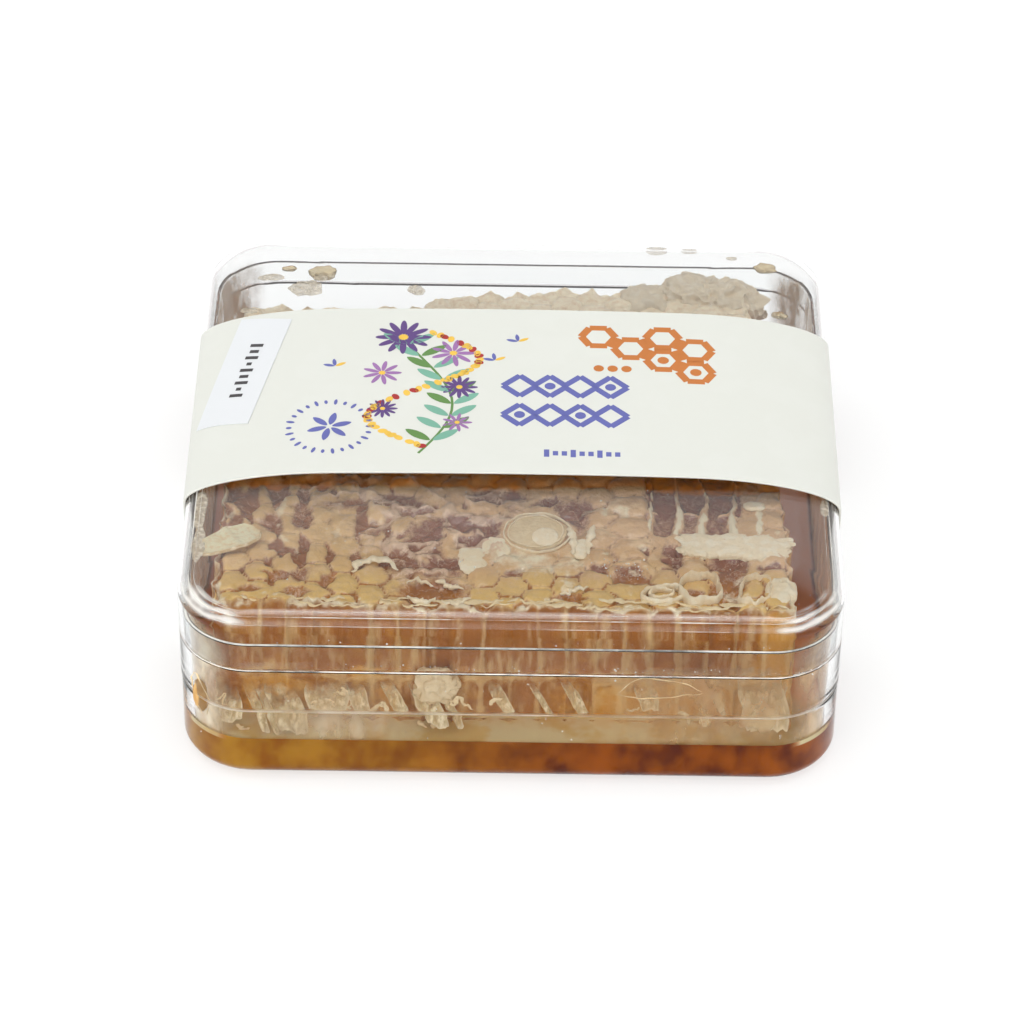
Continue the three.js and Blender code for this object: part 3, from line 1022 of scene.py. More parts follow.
        def place(u: Array, v: Array) -> Axes:
            """Points just under the lid's outer face."""
            half = self.corner_shine_reach[0] + (self.corner_shine_reach[1] - self.corner_shine_reach[0]) * v
            x, y = self.ring(half, np.rint(u * self.around).astype(int))
            out = (half - self.half + self.run) / self.run
            return x, y, self.shoulder + self.lift + self.rise * np.sqrt(1 - out**2) - self.corner_shine_depth

        piece = closed_grid("painted_corner_shine_sheet", self.around, 28, place, 70.0)
        x, y, z = points_of(piece).T
        across = stored(piece, "v")
        bands = 0.4 * np.sin(17 * across + 2.0 * noise.layered(x, y, 0.0, 9.0))
        streak = 0.45 + bands + 0.5 * noise.layered(x, y, z, 3.0)
        corner = step(*self.corner_shine_span, np.abs(x) + np.abs(y)) * step(*self.corner_shine_front, y)
        ends = step(0.0, 0.12, across) * step(1.0, 0.8, across)
        store(piece, "cover", np.clip(streak, 0.0, 1.0) * corner * ends * self.corner_shine_cover)
        return piece

    def build(self, wall: Material, top: Material, bright: Material, shine: Material) -> None:
        """Makes and dresses both halves, the painted highlight lines of their edges and the painted shine of
        the corners.

        Args:
            wall: Plastic of the side walls.
            top: Plastic of the lid's pillow.
            bright: Finish of the painted highlight lines.
            shine: Finish of the corners' painted shine.
        """
        finish_piece(self.painted_corner_shine(), shine)
        finish_piece(self.base(), wall, ["box_base"])
        lid = self.lid()
        # Lower faces take the wall copy of the plastic, whose dimmed reflections are painted shade on what
        # it mirrors.
        for face in lid.data.polygons:
            face.material_index = int(face.center.z < (self.shoulder + self.lift + self.dimmed_reflection_rise) * MM)
        finish_piece(lid, [top, wall], ["box_lid"])
        gap = self.ledge + self.face_gap / 2
        collar = self.inner + self.collar_wall / 2
        # Glowing beads at the skirt's gap and along the mould step: painted highlights of these edges.
        seams = [
            self.bead(self.half - 0.12, gap, 0.1),
            self.bead(self.half - self.groove, self.mould_step + 0.02, 0.05),
        ]
        finish_piece(joined("skirt_highlight_lines", seams), bright)
        # Glowing beads on the collar's top and along the lid's shoulder: painted highlights of these edges.
        lines = [self.bead(collar, self.collar_top + 0.08, 0.16)]
        for half, thick in self.shoulder_highlights:
            height = self.pillow(half, self.half, self.shoulder, self.rise)
            lines.append(self.bead(half - 0.1, height - 0.22, thick))
        finish_piece(joined("lid_highlight_lines", lines), bright)


@dataclass
class HoneyPool:
    """Honey over the floor of the box, with a rim that climbs the wall a little."""

    box: ClearBox
    level: float = 7.0
    into_wall: float = 0.5
    climb: float = 0.9
    climb_width: float = 1.5

    def build(self, honey: Material) -> None:
        """Makes and dresses the pool.

        Args:
            honey: Its finish.
        """
        edge = self.box.inner + self.into_wall
        low = self.box.floor - self.into_wall
        shares = [k / 8 for k in range(9)]
        rim = [(edge - self.climb_width * a, self.level + self.climb * (1 - a) ** 3) for a in shares]
        profile = [
            *self.box.bend(
                (edge - self.box.inner_bottom_edge, low), (edge, low + self.box.inner_bottom_edge), 8,
            ),
            (edge, self.level - 0.1), (edge, self.level), *rim, (edge - 4.0, self.level), (30.0, self.level),
        ]
        pool = self.box.body("honey", profile)
        x, y, z = points_of(pool).T
        top = step(self.level - 0.1, self.level, z - self.box.lift)
        inside = step(edge - 0.7, edge - 1.5, np.maximum(np.abs(x), np.abs(y)))
        store(pool, "top", top * inside)
        # The top is painted paler along the front, a painted reflection on the honey's surface; the back is
        # paler by a smaller share.
        pale = np.maximum(step(-40.0, -46.0, y), 0.45 * step(36.0, 44.0, y))
        store(pool, "pale", top * pale * inside)
        finish_piece(pool, honey, ["honey_pool"])


@dataclass
class CellLattice:
    """Worker cells in columns along Y, with the caps that are sunk or torn open."""

    cell: float = 5.35
    columns_out: int = 12
    rows_out: int = 11
    open_chance: float = 0.7
    sunk_chance: float = 0.12
    open_depth: float = 3.4
    sunk_depth: float = 0.9
    uneven: float = 0.3
    torn: tuple = (
        (30, -21.5, 7.5), (37, -39, 7.5), (27, -42, 3), (-9, -33, 9.5), (-16, -43, 5.5), (-30, -20, 3),
    )
    seed: int = 41
    sink: Array = field(init=False)
    opened: Array = field(init=False)

    def __post_init__(self) -> None:
        """Draws each cell's state, in the same order as the part's source."""
        state = self.seed

        def draw() -> float:
            """The next number of the part's own series."""
            nonlocal state
            state = (state * 1664525 + 1013904223) % 4294967296
            return state / 4294967296

        size = (2 * self.columns_out + 1, 2 * self.rows_out)
        self.sink, self.opened = np.zeros(size), np.zeros(size)
        seen: set[tuple[int, int]] = set()
        for column in range(-self.columns_out, self.columns_out + 1):
            for row in range(-self.rows_out, self.rows_out):
                self._draw_cell(column, row, draw, seen)

    def _draw_cell(self, column: int, row: int, draw: Callable[[], float], seen: set) -> None:
        """Draws one cell's state and its new corners.

        Args:
            column, row: The cell's place in the lattice.
            draw: Gives the next random number.
            seen: The corners drawn so far, to which this cell's are added.
        """
        x, y = column * self.column, row * self.cell + (column % 2) * self.cell / 2
        spot = (column + self.columns_out, row + self.rows_out)
        torn = any(math.hypot(x - px, y - py) < radius for px, py, radius in self.torn)
        if torn and draw() < self.open_chance:
            self.opened[spot] = 1.0
            self.sink[spot] = self.open_depth * (0.6 + 0.6 * draw())
        elif draw() < self.sunk_chance:
            self.sink[spot] = self.sunk_depth
        else:
            self.sink[spot] = self.uneven * (draw() - 0.5)
        for k in range(6):
            angle = k * math.pi / 3
            level = round(math.sin(angle))
            key = (3 * column + round(2 * math.cos(angle)), 2 * row + column % 2 + level)
            if key not in seen:
                seen.add(key)
                for _ in range(3):
                    draw()

    @property
    def column(self) -> float:
        """Distance between two columns of cells."""
        return self.cell * math.sqrt(3) / 2

    def nearest(self, x: Array, y: Array) -> tuple[Array, Array, Array, Array, Array, Array]:
        """The cell that each point lies in.

        Args:
            x, y: Places in millimetres.

        Returns:
            Distance in from the cell's border, the same from its four slanted sides alone, the
            cell's sink, the point's place in Y from the cell's middle, and the middle's x and y.
        """
        best = np.full(x.shape, -99.0)
        slanted, sink, from_y, mid_x, mid_y = (np.zeros(x.shape) for _ in range(5))
        for offset in (-1, 0, 1):
            column = np.rint(x / self.column).astype(int) + offset
            shift = (column % 2) * self.cell / 2
            row = np.rint((y - shift) / self.cell).astype(int)
            dx, dy = x - column * self.column, y - row * self.cell - shift
            slant = math.sqrt(3) / 2
            reach = np.maximum(np.abs(slant * dx + dy / 2), np.abs(slant * dx - dy / 2))
            inside = self.cell / 2 - np.maximum(np.abs(dy), reach)
            better = inside > best
            spot = (
                np.clip(column + self.columns_out, 0, 2 * self.columns_out),
                np.clip(row + self.rows_out, 0, 2 * self.rows_out - 1),
            )
            best = np.where(better, inside, best)
            slanted = np.where(better, self.cell / 2 - reach, slanted)
            sink = np.where(better, self.sink[spot] * (1 - self.opened[spot]), sink)
            from_y = np.where(better, dy, from_y)
            mid_x, mid_y = np.where(better, x - dx, mid_x), np.where(better, y - dy, mid_y)
        return best, slanted, sink, from_y, mid_x, mid_y


@dataclass
class CombBlock:
    """The cut piece of comb: a top of capped cells and four cut sides."""

    lattice: CellLattice
    top: float = 31.95
    bottom: float = 2.15
    midrib: float = 16.85
    channel: float = 1.2
    across: int = 256
    along: int = 230
    levels: int = 26
    well_depth: float = 1.7
    wet_spots: tuple = (
        (-7.6, -25.6, 4.6, 2.6), (-6.8, -31.2, 2.6, 2.2), (-2.5, -18.5, 4.6, 2), (-13.5, -45, 5.6, 4.2),
        (-20, -20.4, 5, 1.8), (10.8, -23.5, 2.6, 4.2), (-15, -34, 3.6, 1.6), (19.5, -38.8, 2.8, 2.4),
        (14.6, -36.6, 1.8, 1.4), (26.4, -33.6, 1.4, 3.4), (0.6, -38.6, 1.6, 0.8), (6.2, -20.2, 2.4, 1.4),
        (36.2, -36.3, 3.2, 2.3), (35.9, -41.8, 2.4, 4.6), (36.2, -46.4, 2.7, 1.6), (43.4, -36.8, 1.8, 1.2),
        (-44.2, -22.2, 2, 1.8), (-40.3, -26.2, 1.4, 2.6), (-35, -31.4, 1.2, 2), (-35.6, -24.7, 1.6, 2.6),
        (-37.8, -33.2, 1.8, 0.8), (-40.2, -18.1, 1.6, 2.2), (-32.7, -15.6, 2.2, 1.6), (-35, -19.4, 1.3, 1.8),
        (-34.9, -40.6, 2.4, 1.5), (-39.4, -41, 1.8, 0.7), (-42.9, -44.7, 1.8, 1.1), (-35.1, -44.7, 2, 1.5),
        (-29.9, -41.8, 1.2, 1.6), (-47, -27, 1.4, 4), (-46.5, -19, 1.6, 3), (30.6, -43.4, 1.8, 0.8),
        (9, -45.4, 2.6, 1.3), (-5, -47.4, 1.6, 1), (2, -47.6, 1.4, 0.9), (22, -33, 1, 0.8),
    )
    well_area: tuple = (22.8, 41.8, -28.9, -9)
    pillars: tuple = (
        (23.4, 0.6, 0.5, 1), (27.8, 0.8, 0.7, 2), (32.2, 0.9, -0.9, 3), (37.3, 0.8, 0.8, 4),
        (41.9, 1.3, -0.4, 5),
    )
    front: tuple = ((-49.4, -47.4), (-20, -48.2), (12, -47.4), (46.9, -48.8))
    right: tuple = ((-48.8, 46.9), (-26, 46.6), (-17, 45.4), (37.4, 42.6))
    back: tuple = ((-48.4, 32), (-43.2, 33.2), (-39.5, 33), (-17, 33.6), (-12, 37), (8, 41), (42.6, 37.4))
    left: tuple = ((-47.4, -49.4), (34.2, -48.4))
    rough: Unevenness = field(default_factory=lambda: Unevenness(5))

    def outline(self, u: Array, v: Array) -> tuple[Array, Array]:
        """Places over the comb between its four borders.

        Args:
            u: Shares from left to right.
            v: Shares from front to back.

        Returns:
            x and y in millimetres.
        """

        def edge(points: tuple, share: Array) -> tuple[Array, Array]:
            """Places along one border."""
            along = points[0][0] + (points[-1][0] - points[0][0]) * share
            return along, np.interp(along, [p[0] for p in points], [p[1] for p in points])

        front_x, front_y = edge(self.front, u)
        back_x, back_y = edge(self.back, u)
        left_y, left_x = edge(self.left, v)
        right_y, right_x = edge(self.right, v)
        a, b = self.front, self.back
        flat = [
            (1 - v) * ((1 - u) * a[0][k] + u * a[-1][k]) + v * ((1 - u) * b[0][k] + u * b[-1][k])
            for k in range(2)
        ]
        x = (1 - v) * front_x + v * back_x + (1 - u) * left_x + u * right_x - flat[0]
        y = (1 - v) * front_y + v * back_y + (1 - u) * left_y + u * right_y - flat[1]
        return x, y

    def build(self, wax: Material) -> None:
        """Makes and dresses the comb.

        Args:
            wax: Its finish.
        """

        def place(u: Array, v: Array) -> Axes:
            """Points of the flat top."""
            x, y = self.outline(u, v)
            return x, y, np.full_like(x, self.top)

        piece = grid_piece("comb", self.across, self.along, place)
        self._draw_down_sides(piece)
        self._shape(piece)
        face_outwards(piece)
        smooth(piece, 60.0)
        finish_piece(piece, wax, ["honeycomb"])

    @staticmethod
    def _front_or_back(v: Array) -> Array:
        """True for points on the front and back borders."""
        return (v < 1e-4) | (v > 1 - 1e-4)

    def _draw_down_sides(self, piece: Object) -> None:
        """Extrudes the rim down in steps and closes the underside.

        Args:
            piece: The comb's top.
        """
        drop = (self.top - self.bottom) / self.levels
        with edit_mode(piece, "DESELECT"):
            bpy.ops.mesh.select_mode(type="EDGE")
            bpy.ops.mesh.select_non_manifold()
            for _ in range(self.levels):
                bpy.ops.mesh.extrude_edges_move(TRANSFORM_OT_translate={"value": (0, 0, -drop * MM)})
            bpy.ops.mesh.edge_face_add()
            bpy.ops.mesh.select_mode(type="VERT")

    def _shape(self, piece: Object) -> None:
        """Gives the top its cells and the sides their cut channels, and keeps the masks.

        Args:
            piece: The comb.
        """
        points = points_of(piece)
        u, v = stored(piece, "u"), stored(piece, "v")
        x, y, z = points[:, 0].copy(), points[:, 1].copy(), points[:, 2].copy()
        side = z < self.top - 0.01
        width, depth = self.front[-1][0] - self.front[0][0], self.back[3][1] - self.front[0][1]
        masks = self._cap_relief(x, y)
        cut = self._cut_depth(x, y, z, v)
        sides = ((u, 1, 0, width), (1 - u, -1, 0, width), (v, 0, 1, depth), (1 - v, 0, -1, depth))
        for share, sign_x, sign_y, size in sides:
            pull = cut * np.exp(-share * size / 1.1)
            x, y = x + sign_x * pull, y + sign_y * pull
        near = np.minimum(np.minimum(u, 1 - u) * width, np.minimum(v, 1 - v) * depth)
        ragged = 0.6 * np.exp(-near / 1.5) * self.rough.layered(x, y, 3.0, 2.2)
        fade = np.exp(-(self.top - z) / 1.2)
        set_points(piece, np.stack([x, y, z + fade * (masks["height"] + ragged)], axis=1))
        flank = np.where(side, 1.0, 0.0)
        # The amber mask holds the painted shade of the strip in the sleeve's shadow.
        for name in ("dark", "warm", "veil", "amber"):
            store(piece, name, masks[name] * (1 - flank))
        pitch = np.where(self._front_or_back(v), x / self.lattice.column, y / self.lattice.cell)
        cell_tone = 0.45 + 0.75 * self.rough.at(np.floor(pitch) * 2.3, z * 0.08, 0.0, 1.0)
        store(piece, "tone", np.where(side, cell_tone, masks["tone"]))
        store(piece, "side", flank)
        ribs, tan, crest = self._cut_masks(x, y, z, cut)
        store(piece, "rib", ribs * flank)
        store(piece, "tan", tan * flank)
        edge = np.exp(-near / 0.9) * (0.45 + 0.5 * self.rough.layered(x, y, 30.0, 2.5))
        store(piece, "pale", np.where(side, crest, np.maximum(masks["pale"], edge)))

    def _cap_relief(self, x: Array, y: Array) -> dict[str, Array]:
        """Relief of the top: domed caps, grooves, wet gaps, the smear, the bubble's bed and the wells.

        Args:
            x, y: Places in millimetres.

        Returns:
            Heights, and masks from 0 to 1 for the finish.
        """
        noise = self.rough.layered
        warp_x = x - 2.3 * step(14.0, 24.0, x) + 0.5 * self.rough.at(x, y, 0.0, 2.6)
        warp_y = y + 0.5 * self.rough.at(x, y, 9.0, 2.6)
        border, slanted, sink, from_y, mid_x, mid_y = self.lattice.nearest(warp_x, warp_y)
        swell = 0.35 * np.sin(x / 13 + 0.6) * np.cos(y / 17) + 0.25 * np.sin(x / 7 + y / 9)
        smear = oval(x, y, -12.0, -28.0, 14.0, 14.0, 0.5)
        smear = np.maximum(smear, oval(x, y, -24.0, -17.0, 12.0, 6.0, 0.6))
        bare = oval(x, y, 4.2, -28.7, 6.2, 5.6, 0.2)
        wider = 1.2 + 0.6 * step(-24.0, -30.0, x) * step(-40.0, -36.0, y)
        gap = step(-0.35, 0.5, noise(x, y * 0.6, 20.0, 3.6, 2)) * wider
        left = step(-14.0, -24.0, x)
        seam = 0.5 * slanted + 0.5 * (self.lattice.column / 2 - np.abs(warp_x - mid_x))
        blobs = step(-0.1, 0.6, gap * (0.2 + 0.8 * left) - seam)
        # Painted shadow: a dark line round each cap, stronger on its front side, where the bulging cap
        # shades the gap below it.
        line = bell(border, 0.5) * step(-0.6, 0.8, -from_y + 2.4 * noise(x, y, 31.0, 3.0))
        wet = np.zeros_like(x)
        bent_x = x + 1.1 * noise(x, y, 41.0, 2.4, 2)
        bent_y = y + 0.9 * noise(x, y, 43.0, 2.4, 2)
        for cx, cy, half_x, half_y in self.wet_spots:
            wet = np.maximum(wet, oval(bent_x, bent_y, cx, cy, half_x, half_y, 0.6))
        swirl_x = x + 2.6 * noise(x, y, 12.0, 7.0, 2)
        swirl_y = y * 1.25 + 2.2 * noise(x, y, 14.0, 7.0, 2)
        murk = step(-0.6, 0.3, noise(swirl_x, swirl_y, 16.0, 5.0, 3)) * smear
        wet_mask = np.maximum(wet, 0.9 * murk)
        fold = 1 - np.abs(noise(swirl_x, swirl_y, 2.0, 4.6, 3)) * 1.5
        veil = step(0.45, 1.0, fold) * np.maximum(smear, 0.3 * wet)
        well, dark_well, pale_well, inside = self._wells(x, y)
        relief = {
            "dome": 0.3 * (1 - (1 - np.clip(border / 2.3, 0, 1)) ** 2) * (1 - 0.8 * smear),
            "groove": -0.2 * bell(border, 0.4) * (1 - 0.8 * smear),
            "blob": -0.45 * blobs,
            "wet": -0.8 * wet_mask,
            "veil": 0.5 * veil + 0.4 * smear * noise(swirl_x, swirl_y, 8.0, 2.6),
            "wrinkle": 0.07 * noise(x, y, 1.0, 0.9),
            "sunk": -0.5 * sink * step(0.1, 1.2, border),
        }
        height = swell + sum(relief.values()) * (1 - inside) * (1 - bare) + well
        warm = step(-35.0, -45.0, y + 2.5 * noise(x, y, 5.0, 4.0)) * (1 - 0.6 * smear)
        warm = np.maximum(warm, 0.4 * step(-6.0, -30.0, x))
        # The painted shadow lines are stronger on the front rows and join the wet spots and blobs in the
        # dark mask.
        lines = (0.5 + 0.4 * step(-34.0, -40.0, y)) * line * (1 - smear)
        dark = np.maximum(np.maximum(0.9 * blobs, wet_mask), lines)
        dark = dark * (1 - bare) * (1 - inside) + dark_well
        # Painted shade: the strip of top under the sleeve's front edge, in its shadow; it becomes the amber
        # mask and loses the pale wax.
        shade = step(-17.2, -16.2, y) * step(0.0, -4.0, y)
        tone = 0.5 + 0.5 * self.rough.at(mid_x * 3.1, mid_y * 2.7, 60.0, 4.0)
        pale = 0.5 * step(0.5, 1.0, noise(x, y, 70.0, 3.2)) * (1 - smear) * (1 - inside) + pale_well
        pale = np.maximum(pale, 0.6 * step(20.0, 32.0, y))
        cream = 0.45 * oval(x, y, 5.0, -34.5, 10.0, 5.0, 0.6) * (1 + 0.5 * noise(x, y, 77.0, 2.2))
        pale = np.maximum(pale, cream)
        return {
            "height": height, "dark": dark, "warm": warm, "veil": veil * (1 - bare),
            "pale": pale * (1 - shade),
            "amber": shade * (0.7 + 0.3 * noise(x, y, 100.0, 2.5)),
            "tone": step(0.35, 0.95, tone + 0.2 * noise(x, y, 80.0, 1.4)) * 0.8,
        }

    def _wells(self, x: Array, y: Array) -> tuple[Array, Array, Array, Array]:
        """The torn-open columns of cells, with the walls that are left standing.

        Args:
            x, y: Places in millimetres.

        Returns:
            Heights, masks of the dark floors and the pale walls, and 1 where the wells are.
        """
        low_x, high_x, low_y, high_y = self.well_area
        noise = self.rough.layered
        uneven_x, uneven_y = x + 0.5 * noise(x, y, 90.0, 2.4), y + 0.7 * noise(x, y, 93.0, 2.4)
        inside = step(low_x - 0.4, low_x + 0.4, uneven_x) * step(high_x + 0.4, high_x - 0.4, uneven_x)
        inside = inside * step(low_y - 0.5, low_y + 0.5, uneven_y) * step(high_y, high_y - 2, uneven_y)
        ridge = np.zeros_like(x)
        near = step(-14.0, low_y, y)
        for middle, thin, lean, seed in self.pillars:
            bend = middle + lean * np.sin((y + 5 * seed) / 2.6) * 0.6 + 0.25 * noise(x, y, 92.0, 2.0)
            wide = thin * (0.45 + 0.75 * near)
            ridge = np.maximum(ridge, bell(x - bend, wide) * (0.65 + 0.35 * near))
        floor_line = 0.6 * bell(y + 23.2 + 0.8 * np.sin(x), 0.6) * (np.sin(x * 0.9) > -0.2)
        flat = step(30.0, 41.0, x) * step(-22.5, -26.0, y) * 0.5 + step(37.0, 39.0, x) * 0.55
        wall = np.maximum(np.maximum(ridge, floor_line), flat)
        depth = -self.well_depth * (1 - wall) * (0.7 + 0.3 * noise(x, y, 95.0, 3.0))
        dark = inside * step(0.75, 0.25, wall) * (0.95 - 0.3 * step(-23.0, -24.0, y))
        pale = inside * step(0.45, 0.95, ridge + 0.25 * noise(x, y, 97.0, 1.6))
        return inside * depth, dark, pale, inside

    def _cut_depth(self, x: Array, y: Array, z: Array, v: Array) -> Array:
        """How deep the knife's cut has opened the cells at each place of the sides.

        Args:
            x, y, z: Places in millimetres.
            v: Share from the front to the back.

        Returns:
            Depths in millimetres.
        """
        front_or_back = self._front_or_back(v)
        pitch = np.where(front_or_back, self.lattice.column, self.lattice.cell)
        along = np.where(front_or_back, x, y) / pitch + 0.12 * self.rough.at(x, y, z * 0.5, 5.0)
        across = np.abs(along - np.floor(along) - 0.5) * 2
        trough = 1 - across**3
        near_midrib = bell(z - self.midrib, 1.1)
        strength = 0.75 + 0.35 * self.rough.at(np.floor(along) * 3.7, z * 0.0, 0.0, 1.0)
        wave = 0.22 * self.rough.layered(x, y, z, 4.0)
        return self.channel * trough * strength * (1 - 0.85 * near_midrib) + wave

    def _cut_masks(self, x: Array, y: Array, z: Array, cut: Array) -> Axes:
        """Where the sides show pale walls, tan wax and the top's ragged crest.

        Args:
            x, y, z: Places in millimetres.
            cut: How deep each place lies in a channel of the cut sides.

        Returns:
            How much of each one shows at each place, in that order.
        """
        noise = self.rough.layered
        ribs = step(0.62, 0.1, cut / self.channel) * (0.62 + 0.7 * noise(x, y, z * 0.25, 4.0))
        tan = step(21.0, 13.0, z + 5.0 * noise(x, y, z, 6.0)) * (0.6 + 0.5 * noise(x, y, z * 0.4, 4.0))
        tan = tan + 0.5 * step(20.0, 40.0, x) * step(20.0, 14.0, z)
        tan = tan * (1 - 0.75 * step(-22.0, -14.0, x) * step(10.0, 3.0, x)) + 0.7 * step(38.0, 43.0, x)
        crest = step(self.top - 2.0, self.top - 0.5, z + 1.1 * noise(x, y, z, 1.8, 2))
        return ribs, tan, crest * (0.55 + 0.5 * noise(x, y, z, 3.0))


@dataclass
class CardSleeve:
    """A closed band of card that bows up in the middle."""

    box: ClearBox
    card: float = 0.4
    front: float = -21.1
    back: float = 25.6
    crown: float = 1.45
    gap: float = 0.12
    bottom_bend: float = 2.6

    @property
    def edge(self) -> float:
        """Half width inside the band."""
        return self.box.half + self.gap

    def inner_height(self, x: float) -> float:
        """Height of the card's underside over the lid.

        Args:
            x: Distance from the box's middle, to the left or right.

        Returns:
            The height in millimetres.
        """
        x = min(abs(x), self.edge)
        flat = self.box.half - self.box.run
        stretched = flat + max(x - flat, 0.0)
        pillow = self.box.pillow(stretched, self.edge, self.box.shoulder, self.box.rise + self.gap)
        stand = self.crown * (1 - (x / self.edge) ** 2) ** 0.75
        return pillow + stand + self.box.lift

    def outer_height(self, x: float) -> float:
        """Height of the card's printed face over the lid."""
        slope = (self.inner_height(x + 0.2) - self.inner_height(x - 0.2)) / 0.4
        return self.inner_height(x) + self.card * math.sqrt(1 + min(slope * slope, 4.0))

    def _half_line(self) -> list[Pair]:
        """The card's inner line at X > 0, from the middle of the top to the middle of the bottom."""
        turns = [k / 60 * math.pi / 2 for k in range(61)]
        xs = [self.edge * math.sin(a) for a in turns]
        line = [(x, self.inner_height(x)) for x in xs]
        low = self.card
        bend = ClearBox.bend((self.edge - self.bottom_bend, low), (self.edge, low + self.bottom_bend), 10)
        upright = [(self.edge, z) for z in np.linspace(self.box.shoulder - 1, low + self.bottom_bend + 1, 8)]
        return [*line, *upright, *bend[::-1], *[(x, low) for x in np.linspace(self.edge - 6, 0, 12)]]

    def build(self, paper: Material) -> None:
        """Makes and dresses the sleeve.

        Args:
            paper: Its finish.
        """
        half = self._half_line()
        line = np.array(half + [(-x, z) for x, z in half[-2:0:-1]])
        ahead, behind = np.roll(line, -1, axis=0), np.roll(line, 1, axis=0)
        way = ahead - behind
        way /= np.linalg.norm(way, axis=1)[:, None]
        outer = line + self.card * np.stack([-way[:, 1], way[:, 0]], axis=1)
        count = len(line)
        low, high, soft = self.front, self.back, 0.08
        section = [
            (1.0, low + soft), (1.0, high - soft), (0.75, high), (0.25, high), (0.0, high - soft),
            (0.0, low + soft), (0.25, low), (0.75, low), (1.0, low + soft),
        ]
        shares = np.array(section)

        def place(u: Array, v: Array) -> Axes:
            """Points round the card's section."""
            spot = np.rint(u * count).astype(int) % count
            row = np.rint(v * (len(shares) - 1)).astype(int)
            out = shares[row, 0][:, None]
            flat = line[spot] * (1 - out) + outer[spot] * out
            return flat[:, 0], shares[row, 1], flat[:, 1]

        piece = closed_grid("sleeve", count, len(shares) - 1, place, 40.0)
        finish_piece(piece, paper, ["card_sleeve"])


@dataclass
class DateSticker:
    """A small white label over the sleeve's left shoulder."""

    sleeve: CardSleeve
    middle: Pair = (-46.7, 9.3)
    half: Pair = (4.6, 14.8)
    turn: float = math.radians(-12)
    lift: float = 0.05
    thick: float = 0.12

    def over(self, along_x: Array, along_y: Array, height: float) -> Axes:
        """Places on the label for its own coordinates in millimetres, raised by a height.

        Args:
            along_x, along_y: Places from the label's middle.
            height: How far they lie over the sleeve's face.

        Returns:
            x, y and z of each place.
        """
        cos, sin = math.cos(self.turn), math.sin(self.turn)
        x = self.middle[0] + cos * along_x - sin * along_y
        y = self.middle[1] + sin * along_x + cos * along_y
        z = np.array([self.sleeve.outer_height(value) for value in x]) + height
        return x, y, z

    def build(self, paper: Material) -> None:
        """Makes and dresses the label.

        Args:
            paper: Its finish.
        """

        def place(u: Array, v: Array) -> Axes:
            """Points over the label."""
            return self.over((2 * u - 1) * self.half[0], (2 * v - 1) * self.half[1], self.lift)

        piece = grid_piece("sticker", 20, 24, place)
        solidify(piece, self.thick)
        smooth(piece, 40.0)
        finish_piece(piece, paper, ["date_sticker"])


@dataclass
class Lump:
    """A rough rounded lump of wax."""

    middle: Spot
    half: Spot
    square: float = 1.0
    rough: float = 0.18
    grain: float = 2.2
    crumple: float = 0.12
    detail: int = 6
    seed: int = 1

    def build(self, name: str) -> Object:
        """Returns the lump, a ball with its surface moved in and out."""
        add = bpy.ops.mesh.primitive_ico_sphere_add
        piece = primitive(name, add, subdivisions=self.detail, radius=1.0)
        way = points_of(piece) * MM
        way /= np.linalg.norm(way, axis=1)[:, None]
        shape = np.sign(way) * np.abs(way) ** self.square
        x, y, z = (shape * np.array(self.half)).T
        noise = Unevenness(self.seed)
        swell = noise.layered(x, y, z, self.grain * 2, 3)
        folds = 1 - np.abs(noise.layered(x, y, z + 50, self.grain, 3)) * 2
        grow = 1 + self.rough * swell + self.crumple * folds
        set_points(piece, (shape * np.array(self.half)) * grow[:, None] + np.array(self.middle))
        smooth(piece, 70.0)
        return piece


@dataclass
class Curl:
    """A curled rim of torn wax: an uneven ring that stands on edge or lies flat."""

    middle: Spot
    half: Pair
    thick: float
    tall: float
    turn: float = 0.0
    seed: int = 3
    uneven: float = 1.0
    TUBE = 0.25

    def build(self, name: str) -> Object:
        """Returns the rim, a torus drawn taller than it is thick and frayed at its top."""
        add, ring = bpy.ops.mesh.primitive_torus_add, {"major_segments": 72, "major_radius": 1.0}
        piece = primitive(name, add, minor_segments=12, minor_radius=self.TUBE, **ring)
        flat = points_of(piece) * MM
        angle = np.arctan2(flat[:, 1], flat[:, 0])
        out = (np.hypot(flat[:, 0], flat[:, 1]) - 1.0) / self.TUBE
        up = flat[:, 2] / self.TUBE
        noise = Unevenness(self.seed)
        ring_x, ring_y = 4 * np.cos(angle), 4 * np.sin(angle)
        wave = 1 + 0.14 * self.uneven * noise.layered(ring_x, ring_y, 0.0, 3.0)
        fray = 1 + 0.45 * noise.layered(ring_x, ring_y, 20.0, 1.4) * (up > 0)
        wall = self.thick * (1 + 0.4 * noise.layered(ring_x, ring_y, 9.0 + up, 1.6))
        radius_x, radius_y = self.half[0] * wave + wall * out, self.half[1] * wave + wall * out
        x, y = radius_x * np.cos(angle), radius_y * np.sin(angle)
        cos, sin = math.cos(self.turn), math.sin(self.turn)
        turned = np.stack([cos * x - sin * y, sin * x + cos * y, self.tall * up * fray], axis=1)
        set_points(piece, turned + np.array(self.middle))
        smooth(piece, 70.0)
        return piece


